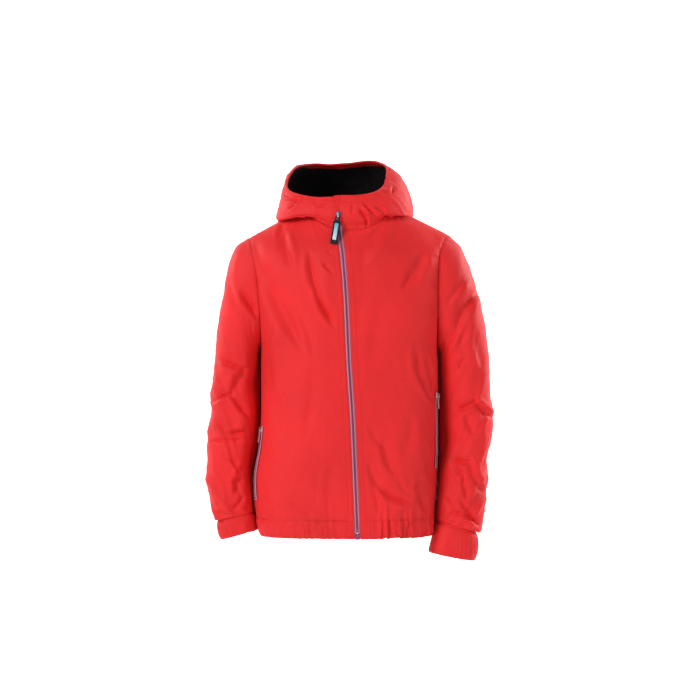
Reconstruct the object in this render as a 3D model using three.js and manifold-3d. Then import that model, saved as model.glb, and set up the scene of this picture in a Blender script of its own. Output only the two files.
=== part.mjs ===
// Kids' rain jacket in its worn shape, with nobody in it: hood down, front zip closed, sleeves hanging.
// Millimetres. +X is the wearer's left, -Y the front, +Z up.
// The origin is in the middle of the neck opening, on the height where the shoulders carry the jacket.

import * as THREE from 'three';
import { mergeVertices } from 'three/addons/utils/BufferGeometryUtils.js';
import Module from 'manifold-3d';

const wasm = await Module();
wasm.setup();

// Cloth and seams
const clothThickness = 1.5;
const liningThickness = 1;
const seamGap = 0.3;
const layerGap = 0.5;
const tapeGap = 0.8;

// Body: heights, neck and shoulders
const hemBottomZ = -538;
const hemSeamZ = -507;
const armpitZ = -215;
const neckHalfWidth = 75;
const neckPointZ = 26;
const frontNeckZ = -18;
const frontNeckPower = 2.7;
const backNeckZ = 20;
const neckRidgeRise = 29;
const shoulder = {
  left: { slope: 0.5, tipX: 170, armholePower: 8 },
  right: { slope: 0.55, tipX: 171, armholePower: 2.4 },
};
const neckRoundHeight = 110;
const tipRoundHeight = 65;
const armholeHalfDepth = 60;
const armholeRise = 95;
const armholeGap = 0.4;

// Sections of the body: half width on each side, depth to front and back, squareness of the oval
const bodySections = [
  { z: -545, right: 149, left: 137, front: 98, back: 100, square: 2.6 },
  { z: -507, right: 158, left: 144, front: 103, back: 105, square: 2.7 },
  { z: -470, right: 163, left: 148.5, front: 107, back: 107, square: 2.8 },
  { z: -430, right: 163, left: 151, front: 109, back: 107, square: 2.8 },
  { z: -385, right: 155, left: 152.5, front: 110, back: 105, square: 2.8 },
  { z: -330, right: 151, left: 153, front: 110, back: 103, square: 2.7 },
  { z: -240, right: 151, left: 152.5, front: 110, back: 104, square: 2.8 },
  { z: -215, right: 150.5, left: 151, front: 109, back: 105, square: 2.9 },
  { z: -120, right: 150.5, left: 151, front: 105, back: 109, square: 2.8 },
  { z: -60, right: 150.5, left: 151, front: 96, back: 107, square: 2.6 },
  { z: -18, right: 150.5, left: 151, front: 79, back: 99, square: 2.4 },
  { z: 60, right: 150.5, left: 151, front: 70, back: 86, square: 2.4 },
];

// Front zip: its middle line from the top of the collar to the hem
const zipPath = [
  { z: -545, x: 14.8 },
  { z: -439, x: 10.5 },
  { z: -337, x: 6 },
  { z: -236, x: -0.5 },
  { z: -136, x: -5 },
  { z: -69, x: -10 },
  { z: -35, x: -14 },
  { z: 8, x: -18 },
  { z: 45, x: -17 },
];
const zipGapHalf = 5;
const collarGapHalf = 0.5;
const zipBottomZ = -528;
const zipTopZ = 2;
const tapeTopZ = 29;
const collarClosesZ = 15;
const collarRows = 6;
const tapeUnderlap = 6;
const chainHalfWidth = 2.3;
const chainDepth = 2;
const flatBesideZip = 25;

// Grid counts
const neckColumns = 6;
const shoulderColumns = 7;
const backNeckColumns = 12;
const lowerRows = 11;
const armholeRows = 9;
const sleeveRings = 26;
const cuffRings = 3;
const hoodRows = 11;

// Sleeves: the outer and inner edge as seen from the front, middle and half depth front to back
const sleeveSections = {
  left: [
    { outX: 191, outZ: -41, inX: 152.6, inZ: -217, y: 1, halfDepth: 61 },
    { outX: 203, outZ: -69, inX: 154, inZ: -219.5, y: 1, halfDepth: 60 },
    { outX: 216.5, outZ: -110, inX: 155.4, inZ: -223, y: 1, halfDepth: 58 },
    { outX: 227, outZ: -151, inX: 156.4, inZ: -228.5, y: 0, halfDepth: 55.5 },
    { outX: 235.5, outZ: -193, inX: 157.2, inZ: -238, y: 0, halfDepth: 53 },
    { outX: 240.8, outZ: -234, inX: 158, inZ: -254, y: -1, halfDepth: 51 },
    { outX: 244, outZ: -275, inX: 160, inZ: -284, y: -2, halfDepth: 49.5 },
    { outX: 245.5, outZ: -310, inX: 162.5, inZ: -312, y: -3, halfDepth: 48 },
    { outX: 246, outZ: -336, inX: 164, inZ: -337, y: -4, halfDepth: 47 },
    { outX: 243.5, outZ: -366, inX: 166.5, inZ: -366, y: -5, halfDepth: 46.5 },
    { outX: 240.5, outZ: -396, inX: 164, inZ: -392, y: -7, halfDepth: 46 },
    { outX: 239, outZ: -426, inX: 157, inZ: -419, y: -9, halfDepth: 45 },
    { outX: 236, outZ: -456, inX: 154, inZ: -446, y: -12, halfDepth: 43.5 },
    { outX: 232.5, outZ: -486, inX: 151.5, inZ: -471, y: -15, halfDepth: 41 },
    { outX: 231, outZ: -514, inX: 150.5, inZ: -494, y: -18, halfDepth: 38 },
    { outX: 226.5, outZ: -530, inX: 150.5, inZ: -507, y: -20, halfDepth: 34.5 },
    { outX: 217.5, outZ: -531.5, inX: 151.5, inZ: -512, y: -21, halfDepth: 31 },
  ],
  right: [
    { outX: 193, outZ: -41, inX: 152.6, inZ: -217, y: 1, halfDepth: 61 },
    { outX: 206, outZ: -69, inX: 153.6, inZ: -219.5, y: 1, halfDepth: 60 },
    { outX: 214, outZ: -110, inX: 154.6, inZ: -223, y: 1, halfDepth: 58 },
    { outX: 222, outZ: -151, inX: 155.4, inZ: -228.5, y: 0, halfDepth: 55.5 },
    { outX: 227, outZ: -193, inX: 156, inZ: -237, y: 0, halfDepth: 53 },
    { outX: 231, outZ: -234, inX: 157.5, inZ: -251, y: -1, halfDepth: 51 },
    { outX: 236, outZ: -275, inX: 163, inZ: -278, y: -2, halfDepth: 49.5 },
    { outX: 239, outZ: -305, inX: 160, inZ: -305, y: -3, halfDepth: 48 },
    { outX: 240, outZ: -335, inX: 159, inZ: -333, y: -4, halfDepth: 47 },
    { outX: 242.5, outZ: -365, inX: 161, inZ: -360, y: -5, halfDepth: 46 },
    { outX: 243, outZ: -392, inX: 166, inZ: -386, y: -6, halfDepth: 45 },
    { outX: 244, outZ: -417, inX: 170, inZ: -409, y: -8, halfDepth: 44 },
    { outX: 243.5, outZ: -443, inX: 170.5, inZ: -433, y: -10, halfDepth: 42.5 },
    { outX: 241.5, outZ: -470, inX: 167.5, inZ: -457, y: -13, halfDepth: 40 },
    { outX: 237, outZ: -494, inX: 165.5, inZ: -478, y: -15, halfDepth: 36.5 },
    { outX: 231.5, outZ: -510, inX: 164, inZ: -492, y: -17, halfDepth: 32.5 },
    { outX: 225, outZ: -512, inX: 163.5, inZ: -497, y: -18, halfDepth: 29.5 },
  ],
};
const cuffSections = {
  left: [
    { outX: 217.5, outZ: -531.5, inX: 151.5, inZ: -512, y: -21, halfDepth: 31 },
    { outX: 218.5, outZ: -548, inX: 146, inZ: -530, y: -22, halfDepth: 32.5 },
    { outX: 217, outZ: -564, inX: 141, inZ: -547, y: -23, halfDepth: 34.5 },
    { outX: 214, outZ: -579, inX: 136, inZ: -564, y: -24, halfDepth: 36 },
  ],
  right: [
    { outX: 225, outZ: -512, inX: 163.5, inZ: -497, y: -18, halfDepth: 29.5 },
    { outX: 223, outZ: -523, inX: 163, inZ: -508, y: -19, halfDepth: 29 },
    { outX: 220, outZ: -533, inX: 163, inZ: -518, y: -19, halfDepth: 28.5 },
    { outX: 217, outZ: -543, inX: 163.5, inZ: -528, y: -20, halfDepth: 28 },
  ],
};
const armSquareness = 0.05;

// Hood lying open round the neck: its edge, by the turn from the front towards the wearer's left
const hoodEdge = [
  { turn: -180, x: -12, y: 92, z: 113 },
  { turn: -155, x: -58, y: 82, z: 111 },
  { turn: -130, x: -87, y: 52, z: 104 },
  { turn: -108, x: -102, y: 20, z: 86 },
  { turn: -90, x: -108, y: -8, z: 68 },
  { turn: -72, x: -105, y: -34, z: 54 },
  { turn: -50, x: -84, y: -58, z: 44 },
  { turn: -25, x: -50, y: -71, z: 38 },
  { turn: 0, x: -17, y: -76, z: 41 },
  { turn: 25, x: 16, y: -73, z: 42 },
  { turn: 50, x: 44, y: -57, z: 49 },
  { turn: 72, x: 58, y: -32, z: 61 },
  { turn: 90, x: 63, y: -8, z: 75 },
  { turn: 108, x: 66, y: 22, z: 92 },
  { turn: 130, x: 60, y: 54, z: 105 },
  { turn: 155, x: 32, y: 83, z: 112 },
  { turn: 180, x: -12, y: 92, z: 113 },
];

// How far the hood cloth stands out and hangs down between neck seam and edge, at four places round it:
// share of the way up, then out and drop in front, on the left, behind and on the right
const hoodFullness = [
  [0, 0, 0, 0, 0, 0, 0, 0, 0],
  [0.1, 2, 0, 11, 8, 16, 16, 12, 8],
  [0.2, 4, 0, 21, 19, 31, 60, 23, 19],
  [0.3, 5, 0, 30, 30, 44, 106, 32, 31],
  [0.4, 6, 0, 35, 32, 60, 120, 36, 36],
  [0.5, 6, 0, 36, 28, 72, 100, 32, 31],
  [0.6, 5, 0, 35, 22, 76, 74, 25, 24],
  [0.7, 4, 0, 32, 16, 68, 48, 18, 17],
  [0.8, 3, 0, 26, 10, 54, 22, 12, 11],
  [0.9, 1, 0, 17, 4, 31, 6, 6, 5],
  [1, 0, 0, 0, 0, 0, 0, 0, 0],
].map(([up, frontOut, frontDrop, leftOut, leftDrop, backOut, backDrop, rightOut, rightDrop]) => {
  return { up, frontOut, frontDrop, leftOut, leftDrop, backOut, backDrop, rightOut, rightDrop };
});
// Turns in degrees over which the front gives way to the sides, and the sides to the back
const hoodFrontTurns = { from: 25, to: 80 };
const hoodBackTurns = { from: 95, to: 150 };
const hoodSideColumns = 9;
const facingFrom = 0.85;
const liningFrom = 0.05;
const facingGapShare = 0.03;
const hoodClearance = 3;
const liftStep = 0.5;

const deepestFold = 7;
// A fold shows where the cloth faces its view: none below the first value of the normal, all of it above
// the second
const foldFacing = { none: -0.3, all: 0.4 };

// Largest folds, as seen from the front or the back: a line in X and Z, its depth and half width
const frontFolds = [
  { fromX: -142, fromZ: -98, toX: -82, toZ: -213, depth: 6, halfWidth: 13 },
  { fromX: -110, fromZ: -28, toX: -99, toZ: -73, depth: 4, halfWidth: 10 },
  { fromX: -67, fromZ: -61, toX: -55, toZ: -120, depth: 5, halfWidth: 10 },
  { fromX: -55, fromZ: -120, toX: -25, toZ: -178, depth: 5, halfWidth: 10 },
  { fromX: 129, fromZ: -54, toX: 99, toZ: -111, depth: 5, halfWidth: 12 },
  { fromX: 116, fromZ: -220, toX: 126, toZ: -278, depth: 4, halfWidth: 10 },
  { fromX: 126, fromZ: -278, toX: 138, toZ: -304, depth: 4, halfWidth: 10 },
  { fromX: 38, fromZ: -441, toX: 80, toZ: -468, depth: 4.5, halfWidth: 9 },
  { fromX: 80, fromZ: -468, toX: 110, toZ: -477, depth: 4.5, halfWidth: 9 },
  { fromX: 59, fromZ: -354, toX: 82, toZ: -421, depth: 4, halfWidth: 11 },
  { fromX: -120, fromZ: -330, toX: -95, toZ: -420, depth: 3, halfWidth: 13 },
];
const backFolds = [
  { fromX: 140, fromZ: -95, toX: 92, toZ: -190, depth: 6, halfWidth: 13 },
  { fromX: -141, fromZ: -105, toX: -88, toZ: -215, depth: 6, halfWidth: 13 },
  { fromX: 40, fromZ: -150, toX: 62, toZ: -265, depth: 4, halfWidth: 12 },
  { fromX: -30, fromZ: -175, toX: -52, toZ: -300, depth: 4, halfWidth: 12 },
  { fromX: -125, fromZ: -330, toX: -60, toZ: -395, depth: 5, halfWidth: 12 },
  { fromX: 120, fromZ: -350, toX: 48, toZ: -410, depth: 5, halfWidth: 12 },
  { fromX: -40, fromZ: -440, toX: -75, toZ: -480, depth: 4, halfWidth: 9 },
  { fromX: 30, fromZ: -430, toX: 58, toZ: -478, depth: 4, halfWidth: 9 },
];
const sleeveFolds = {
  left: [
    { fromX: 219, fromZ: -126, toX: 176, toZ: -196, depth: 5, halfWidth: 12 },
    { fromX: 184, fromZ: -318, toX: 213, toZ: -311, depth: 6, halfWidth: 9 },
    { fromX: 213, fromZ: -311, toX: 244, toZ: -335, depth: 6, halfWidth: 9 },
    { fromX: 172, fromZ: -408, toX: 210, toZ: -414, depth: 5, halfWidth: 9 },
    { fromX: 210, fromZ: -414, toX: 229, toZ: -455, depth: 5, halfWidth: 9 },
    { fromX: 199, fromZ: -472, toX: 220, toZ: -500, depth: 4, halfWidth: 8 },
    { fromX: 190, fromZ: -240, toX: 222, toZ: -262, depth: 3.5, halfWidth: 10 },
  ],
  right: [
    { fromX: -188, fromZ: -112, toX: -162, toZ: -165, depth: 5, halfWidth: 11 },
    { fromX: -222, fromZ: -229, toX: -180, toZ: -253, depth: 5, halfWidth: 10 },
    { fromX: -238, fromZ: -306, toX: -196, toZ: -291, depth: 5, halfWidth: 9 },
    { fromX: -204, fromZ: -306, toX: -168, toZ: -340, depth: 6, halfWidth: 9 },
    { fromX: -220, fromZ: -366, toX: -172, toZ: -354, depth: 5, halfWidth: 9 },
    { fromX: -232, fromZ: -388, toX: -182, toZ: -384, depth: 4, halfWidth: 8 },
    { fromX: -200, fromZ: -440, toX: -176, toZ: -462, depth: 5, halfWidth: 9 },
  ],
};

// Gathers of the hem casing: how many between two places across the half hem, and their height
const hemGathers = {
  left: [
    { from: 0.1, to: 0.34, count: 2, height: 0.8 },
    { from: 0.34, to: 0.86, count: 9, height: 2.2 },
  ],
  right: [
    { from: 0.08, to: 0.4, count: 5, height: 1.3 },
    { from: 0.84, to: 0.97, count: 2, height: 1.6 },
  ],
  back: [{ from: 0.06, to: 0.94, count: 20, height: 1.8 }],
};
const hemColumns = { left: 40, right: 28, back: 60 };
const hemRows = 2;
const gatherAtSeam = 0.6;
const gatherFade = 5;

// Pocket zips beside the side seams: top and bottom of each, and how far forward they lie
const pockets = {
  left: { topZ: -292, bottomZ: -420 },
  right: { topZ: -350, bottomZ: -474 },
};
const pocketForward = 47;
const pocketHalfWidth = 4;
const pocketThickness = 1.2;
const pocketRows = 6;

// Sliders and pull tabs, measured along the zip (length), across it (width) and off the cloth (height)
const frontSlider = {
  slider: { width: 10, length: 12, plate: 2.2, bridgeWidth: 3, bridgeLength: 9, bridgeHeight: 4, bridgeBar: 1.1 },
  pull: { width: 12.5, length: 49, thickness: 1.8, eyeWidth: 5.6, eyeLength: 6, bar: 1.3, neckWidth: 8.4 },
  leanDegrees: -8,
  tiltDegrees: 13,
  pullFinish: 'rubber',
};
const pocketSlider = {
  slider: { width: 7.6, length: 9, plate: 1.8, bridgeWidth: 2.4, bridgeLength: 7, bridgeHeight: 3.4, bridgeBar: 0.9 },
  pull: { width: 6.5, length: 23, thickness: 1.5, eyeWidth: 4.4, eyeLength: 5, bar: 1.1, neckWidth: 6.4 },
  leanDegrees: 0,
  tiltDegrees: 3,
  pullFinish: 'metal',
};
const sliderZ = 8;
// Shares of a slider's half width, length and bridge at which its outline turns
const sliderShape = { foot: 0.7, waist: 0.55, head: 0.8, bridgeShoulder: 0.6, bridgeFlat: 0.7, sunk: 0.4 };
const pullCornerShare = 0.18;
const zipBox = { width: 9, height: 10, depth: 3.4 };

// Colours and finish
const finishes = {
  shell: { color: 0xd8282c, roughness: 0.55, metalness: 0 },
  seamBand: { color: 0xd2262b, roughness: 0.58, metalness: 0 },
  lining: { color: 0x0c0b0d, roughness: 0.85, metalness: 0 },
  tape: { color: 0xc27b93, roughness: 0.7, metalness: 0 },
  coil: { color: 0x83405f, roughness: 0.45, metalness: 0 },
  metal: { color: 0xb9babd, roughness: 0.35, metalness: 0.9 },
  rubber: { color: 0x121114, roughness: 0.6, metalness: 0 },
};

const jacket = new THREE.Group();

function addPiece(name, geometry, finish) {
  const piece = new THREE.Mesh(geometry, new THREE.MeshStandardMaterial(finishes[finish]));
  piece.name = name;
  jacket.add(piece);
  return piece;
}

const vec = (x, y, z) => new THREE.Vector3(x, y, z);
const mix = (a, b, share) => a + (b - a) * share;
const clamp = (value, low, high) => Math.min(high, Math.max(low, value));

function smoothStep(low, high, value) {
  const t = clamp((value - low) / (high - low), 0, 1);
  return t * t * (3 - 2 * t);
}

// A list of whole steps from 0 to count
const steps = (count) => Array.from({ length: count + 1 }, (_, k) => k);

// Smooth curve through the rows of a table: its columns at a value of the key column
function readTable(rows, key, at, column) {
  let k = 0;
  while (k < rows.length - 2 && rows[k + 1][key] < at) k += 1;
  const low = rows[k];
  const high = rows[k + 1];
  const span = high[key] - low[key];
  const t = clamp((at - low[key]) / span, 0, 1);
  const before = rows[Math.max(0, k - 1)];
  const after = rows[Math.min(rows.length - 1, k + 2)];
  const slopeLow = (high[column] - before[column]) / (high[key] - before[key]);
  const slopeHigh = (after[column] - low[column]) / (after[key] - low[key]);
  const t2 = t * t;
  const t3 = t2 * t;
  return (
    (2 * t3 - 3 * t2 + 1) * low[column] +
    (t3 - 2 * t2 + t) * span * slopeLow +
    (3 * t2 - 2 * t3) * high[column] +
    (t3 - t2) * span * slopeHigh
  );
}

const sideName = (sign) => (sign > 0 ? 'left' : 'right');
const zipX = (z) => readTable(zipPath, 'z', z, 'x');

// Height of the line along the top of the shoulder, rounded over the neck
function ridgeZ(x) {
  const side = shoulder[sideName(x)];
  const beyond = Math.abs(x) - neckHalfWidth;
  if (beyond > 0) return neckPointZ - side.slope * beyond;
  return neckPointZ + neckRidgeRise * (1 - (x / neckHalfWidth) ** 2);
}

// Height of the neck seam in front and behind
function neckSeamZ(face, x) {
  const share = Math.min(1, Math.abs(x) / neckHalfWidth);
  if (face === 'front') return frontNeckZ + (neckPointZ - frontNeckZ) * share ** frontNeckPower;
  return backNeckZ + (neckPointZ - backNeckZ) * share ** 2;
}

// Distance of the side seam, and above the armpit of the armhole seam, from the middle
function sideReach(sign, z) {
  const side = shoulder[sideName(sign)];
  const armpitX = readTable(bodySections, 'z', armpitZ, sideName(sign));
  if (z <= armpitZ) return readTable(bodySections, 'z', z, sideName(sign));
  const tipZ = ridgeZ(sign * side.tipX);
  const share = clamp((z - armpitZ) / (tipZ - armpitZ), 0, 1);
  return armpitX + (side.tipX - armpitX) * share ** side.armholePower;
}

// Depth of the body at a place: a squared oval through the armhole, closing over the shoulder
function bodyDepth(face, x, z) {
  const sign = x < 0 ? -1 : 1;
  const full = readTable(bodySections, 'z', z, face);
  const square = readTable(bodySections, 'z', z, 'square');
  const rise = clamp((z - armpitZ) / armholeRise, 0, 1);
  const armholeDepth = armholeHalfDepth * Math.sqrt(1 - (1 - rise) ** 2);
  const closing = sideReach(sign, z) / (1 - (armholeDepth / full) ** square) ** (1 / square);
  const across = Math.max(0, 1 - Math.min(1, Math.abs(x) / closing) ** square) ** (1 / square);
  const spread = clamp(Math.abs(x) / shoulder[sideName(sign)].tipX, 0, 1);
  const roundHeight = mix(neckRoundHeight, tipRoundHeight, spread);
  const below = clamp((ridgeZ(x) - z) / roundHeight, 0, 1);
  return full * across * Math.sqrt(1 - (1 - below) ** 2);
}

function bodyPoint(face, x, z) {
  const depth = bodyDepth(face, x, z) + seamGap / 2;
  return vec(x, face === 'front' ? -depth : depth, z);
}

// One column of a body panel, from the hem seam up to the neck or shoulder seam
function bodyColumn(face, sign, topX, lowZ = hemSeamZ) {
  const overShoulder = Math.abs(topX) >= neckHalfWidth;
  const topZ = overShoulder ? ridgeZ(topX) : neckSeamZ(face, topX);
  const inner = (z) => (face === 'front' ? zipX(z) + sign * zipGapHalf : 0);
  const tip = sign * shoulder[sideName(sign)].tipX;
  const share = (topX - inner(topZ)) / (tip - inner(topZ));
  const lower = steps(lowerRows - 1).map((k) => mix(lowZ, armpitZ, k / lowerRows));
  const upper = steps(armholeRows).map((k) => {
    return mix(armpitZ, topZ, (1 - Math.cos((Math.PI * k) / armholeRows)) / 2);
  });
  return [...lower, ...upper].map((z) => {
    const x = mix(inner(z), sign * sideReach(sign, z), share);
    return bodyPoint(face, x, z);
  });
}

// Places across the top of a panel: along the neck seam, then along the shoulder seam
function neckPlaces(sign) {
  const first = zipX(frontNeckZ) + sign * zipGapHalf;
  const start = Math.asin(Math.abs(first) / neckHalfWidth) * Math.sign(first) * sign;
  return steps(neckColumns).map((k) => {
    if (k === 0) return first;
    return sign * neckHalfWidth * Math.sin(mix(start, Math.PI / 2, k / neckColumns));
  });
}

function shoulderPlaces(sign) {
  const tipX = shoulder[sideName(sign)].tipX;
  return steps(shoulderColumns).slice(1).map((k) => {
    return sign * mix(neckHalfWidth, tipX, Math.sin((Math.PI / 2) * (k / shoulderColumns)));
  });
}

function backNeckPlaces() {
  return steps(backNeckColumns).map((k) => neckHalfWidth * Math.cos((Math.PI * k) / backNeckColumns));
}

// Outward directions of a grid of points, row by row; ring grids close on themselves
function gridNormals(grid, ring) {
  const rows = grid.length;
  const columns = grid[0].length;
  return grid.map((row, j) => row.map((_, i) => {
    const before = ring ? (i + columns - 1) % columns : Math.max(0, i - 1);
    const after = ring ? (i + 1) % columns : Math.min(columns - 1, i + 1);
    const across = row[after].clone().sub(row[before]);
    const along = grid[Math.min(rows - 1, j + 1)][i].clone().sub(grid[Math.max(0, j - 1)][i]);
    return across.cross(along).normalize();
  }));
}

// Take one direction out of a normal, so that a cut edge stays in its seam
function levelled(normal, direction) {
  if (!direction) return normal;
  return normal.clone().addScaledVector(direction, -normal.dot(direction)).normalize();
}

function levelEdges(normals, level) {
  const last = normals.length - 1;
  return normals.map((row, j) => row.map((normal, i) => {
    let out = normal;
    if (j === 0) out = levelled(out, level.first);
    if (j === last) out = levelled(out, level.last);
    if (i === 0) out = levelled(out, level.start);
    if (i === row.length - 1) out = levelled(out, level.end);
    return out;
  }));
}

function moved(grid, normals, distance) {
  return grid.map((row, j) => row.map((point, i) => point.clone().addScaledVector(normals[j][i], distance)));
}

// Closed sheet between an outer and an inner grid of points
function sheetBetween(outer, inner, ring) {
  const rows = outer.length;
  const columns = outer[0].length;
  const positions = [...outer.flat(), ...inner.flat()].flatMap((point) => point.toArray());
  const outside = (j, i) => j * columns + (i % columns);
  const inside = (j, i) => rows * columns + outside(j, i);
  const faces = [];
  const quad = (a, b, c, d) => faces.push(a, b, c, a, c, d);
  const spans = ring ? columns : columns - 1;
  for (let j = 0; j < rows - 1; j += 1) {
    for (let i = 0; i < spans; i += 1) {
      quad(outside(j, i), outside(j, i + 1), outside(j + 1, i + 1), outside(j + 1, i));
      quad(inside(j, i), inside(j + 1, i), inside(j + 1, i + 1), inside(j, i + 1));
    }
  }
  for (let i = 0; i < spans; i += 1) {
    quad(outside(0, i), inside(0, i), inside(0, i + 1), outside(0, i + 1));
    quad(outside(rows - 1, i), outside(rows - 1, i + 1), inside(rows - 1, i + 1), inside(rows - 1, i));
  }
  if (!ring) {
    const end = columns - 1;
    for (let j = 0; j < rows - 1; j += 1) {
      quad(outside(j, 0), outside(j + 1, 0), inside(j + 1, 0), inside(j, 0));
      quad(outside(j, end), inside(j, end), inside(j + 1, end), outside(j + 1, end));
    }
  }
  const geometry = new THREE.BufferGeometry();
  geometry.setAttribute('position', new THREE.Float32BufferAttribute(positions, 3));
  geometry.setIndex(faces);
  geometry.computeVertexNormals();
  return geometry;
}

function clothSheet(grid, thickness, { ring = false, level = {}, normals = gridNormals(grid, ring) } = {}) {
  const directions = levelEdges(normals, level);
  return sheetBetween(grid, moved(grid, directions, -thickness), ring);
}

// Distance in X and Z from a point to the line of a fold
function foldDistance(point, fold) {
  const lineX = fold.toX - fold.fromX;
  const lineZ = fold.toZ - fold.fromZ;
  const overX = point.x - fold.fromX;
  const overZ = point.z - fold.fromZ;
  const share = clamp((overX * lineX + overZ * lineZ) / (lineX ** 2 + lineZ ** 2), 0, 1);
  return Math.hypot(overX - share * lineX, overZ - share * lineZ);
}

// Press the folds into a grid where it faces the way they are seen from; the seams stay where they are
function pressFolds(grid, folds, facing, ring = false, fade = () => 1) {
  const normals = gridNormals(grid, ring);
  const last = grid.length - 1;
  return grid.map((row, j) => row.map((point, i) => {
    const normal = normals[j][i];
    const onSeam = j === 0 || j === last || (!ring && (i === 0 || i === row.length - 1));
    const facingShare = smoothStep(foldFacing.none, foldFacing.all, normal.y * facing);
    if (onSeam || facingShare === 0) return point;
    const depth = folds.reduce((sum, fold) => {
      return sum + fold.depth * Math.exp(-((foldDistance(point, fold) / fold.halfWidth) ** 2));
    }, 0);
    return point.clone().addScaledVector(normal, -Math.min(depth, deepestFold) * facingShare * fade(point));
  }));
}

// Turn columns into rows of a grid
const gridOfColumns = (columns) => columns[0].map((_, j) => columns.map((column) => column[j]));

// The cloth lies flat over the zip tapes
function besideZip(point) {
  return smoothStep(flatBesideZip, 2 * flatBesideZip, Math.abs(point.x - zipX(point.z)));
}

// Body panels
function frontGrid(sign) {
  const places = [...neckPlaces(sign), ...shoulderPlaces(sign)];
  if (sign < 0) places.reverse();
  const grid = gridOfColumns(places.map((x) => bodyColumn('front', sign, x)));
  return pressFolds(grid, frontFolds, -1, false, besideZip);
}

function backGrid() {
  const places = [...shoulderPlaces(1).reverse(), ...backNeckPlaces(), ...shoulderPlaces(-1)];
  const columns = places.map((x) => bodyColumn('back', x < 0 ? -1 : 1, x));
  return pressFolds(gridOfColumns(columns), backFolds, 1);
}

// Cut edges of a panel: flat across the side and shoulder seams, level at the hem
function panelNormals(grid) {
  const up = vec(0, 0, 1);
  const forward = vec(0, 1, 0);
  const last = grid.length - 1;
  return gridNormals(grid, false).map((row, j) => row.map((normal, i) => {
    const overShoulder = j === last && Math.abs(grid[j][i].x) > neckHalfWidth - seamGap;
    const atSide = Math.abs(grid[j][i].y) < seamGap;
    let out = normal;
    if (overShoulder || atSide) out = levelled(out, forward);
    if (j === 0) out = levelled(out, up);
    return out;
  }));
}

function addBody() {
  for (const sign of [1, -1]) {
    const grid = frontGrid(sign);
    const zipEdge = vec(1, 0, 0);
    const level = sign > 0 ? { start: zipEdge } : { end: zipEdge };
    const geometry = clothSheet(grid, clothThickness, { level, normals: panelNormals(grid) });
    addPiece(`front_${sideName(sign)}`, geometry, 'shell');
  }
  const grid = backGrid();
  addPiece('back', clothSheet(grid, clothThickness, { normals: panelNormals(grid) }), 'shell');
}

// Hem casing, gathered by the cord inside it
function gatherHeight(gathers, share) {
  return gathers.reduce((sum, run) => {
    const along = (share - run.from) / (run.to - run.from);
    if (along <= 0 || along >= 1) return sum;
    const fade = Math.min(1, gatherFade * Math.min(along, 1 - along));
    return sum + run.height * fade * Math.sin(Math.PI * run.count * along) ** 2;
  }, 0);
}

function hemGrid(face, sign) {
  const name = face === 'front' ? sideName(sign) : 'back';
  const topZ = hemSeamZ - seamGap;
  return steps(hemRows).map((j) => {
    const z = mix(hemBottomZ, topZ, j / hemRows);
    const spread = mix(1, gatherAtSeam, j / hemRows);
    return steps(hemColumns[name]).map((i) => {
      const share = i / hemColumns[name];
      const turn = face === 'front' ? Math.sin((Math.PI / 2) * share) : Math.cos(Math.PI * share);
      const half = face === 'front' ? sign : Math.sign(turn || 1);
      const inner = face === 'front' ? zipX(z) + sign * zipGapHalf : 0;
      const x = mix(inner, half * sideReach(half, z), Math.abs(turn));
      const point = bodyPoint(face, x, z);
      const outward = vec(point.x / 2, point.y, 0).normalize();
      return point.addScaledVector(outward, spread * gatherHeight(hemGathers[name], share));
    });
  });
}

function addHem() {
  for (const sign of [1, -1]) {
    const grid = hemGrid('front', sign).map((row) => (sign > 0 ? row : [...row].reverse()));
    addPiece(`hem_front_${sideName(sign)}`, hemSheet(grid, 'front', sign), 'seamBand');
  }
  addPiece('hem_back', hemSheet(hemGrid('back', 1), 'back', 0), 'seamBand');
}

function hemSheet(grid, face, sign) {
  const up = vec(0, 0, 1);
  const sideCut = vec(0, 1, 0);
  const zipCut = vec(1, 0, 0);
  const start = face === 'front' && sign > 0 ? zipCut : sideCut;
  const end = face === 'front' && sign < 0 ? zipCut : sideCut;
  return clothSheet(grid, clothThickness, { level: { first: up, last: up, start, end } });
}

// Sleeves: rings that fan out from the armhole and hang down to the cuff
function armholeRing(sign) {
  const tip = sign * shoulder[sideName(sign)].tipX;
  const front = bodyColumn('front', sign, tip).slice(lowerRows).reverse();
  const back = bodyColumn('back', sign, tip).slice(lowerRows);
  const ring = [...front, ...back.slice(1, -1)];
  return ring.map((point, k) => {
    const onSeam = k === 0 || k === armholeRows;
    return vec(point.x + sign * armholeGap, onSeam ? 0 : point.y, point.z);
  });
}

function sleeveRing(rows, sign, at, turns) {
  const read = (column) => readTable(rows, 'step', at, column);
  const outer = vec(sign * read('outX'), read('y'), read('outZ'));
  const inner = vec(sign * read('inX'), read('y'), read('inZ'));
  const middle = outer.clone().add(inner).multiplyScalar(0.5);
  const arm = outer.clone().sub(middle);
  return turns.map((turn) => {
    const square = 1 + armSquareness * Math.sin(2 * turn) ** 2;
    return middle.clone()
      .addScaledVector(arm, Math.cos(turn) * square)
      .addScaledVector(vec(0, -1, 0), Math.sin(turn) * square * read('halfDepth'));
  });
}

const numbered = (rows) => rows.map((row, step) => ({ ...row, step }));

function ringTurns() {
  return steps(2 * armholeRows - 1).map((k) => (Math.PI * k) / armholeRows);
}

// The seam of sleeve and cuff is cut square to the arm
function armDirection(sections, sign, index) {
  const row = sections[index];
  const across = vec(sign * (row.outX - row.inX), 0, row.outZ - row.inZ);
  return across.cross(vec(0, 1, 0)).normalize();
}

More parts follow.
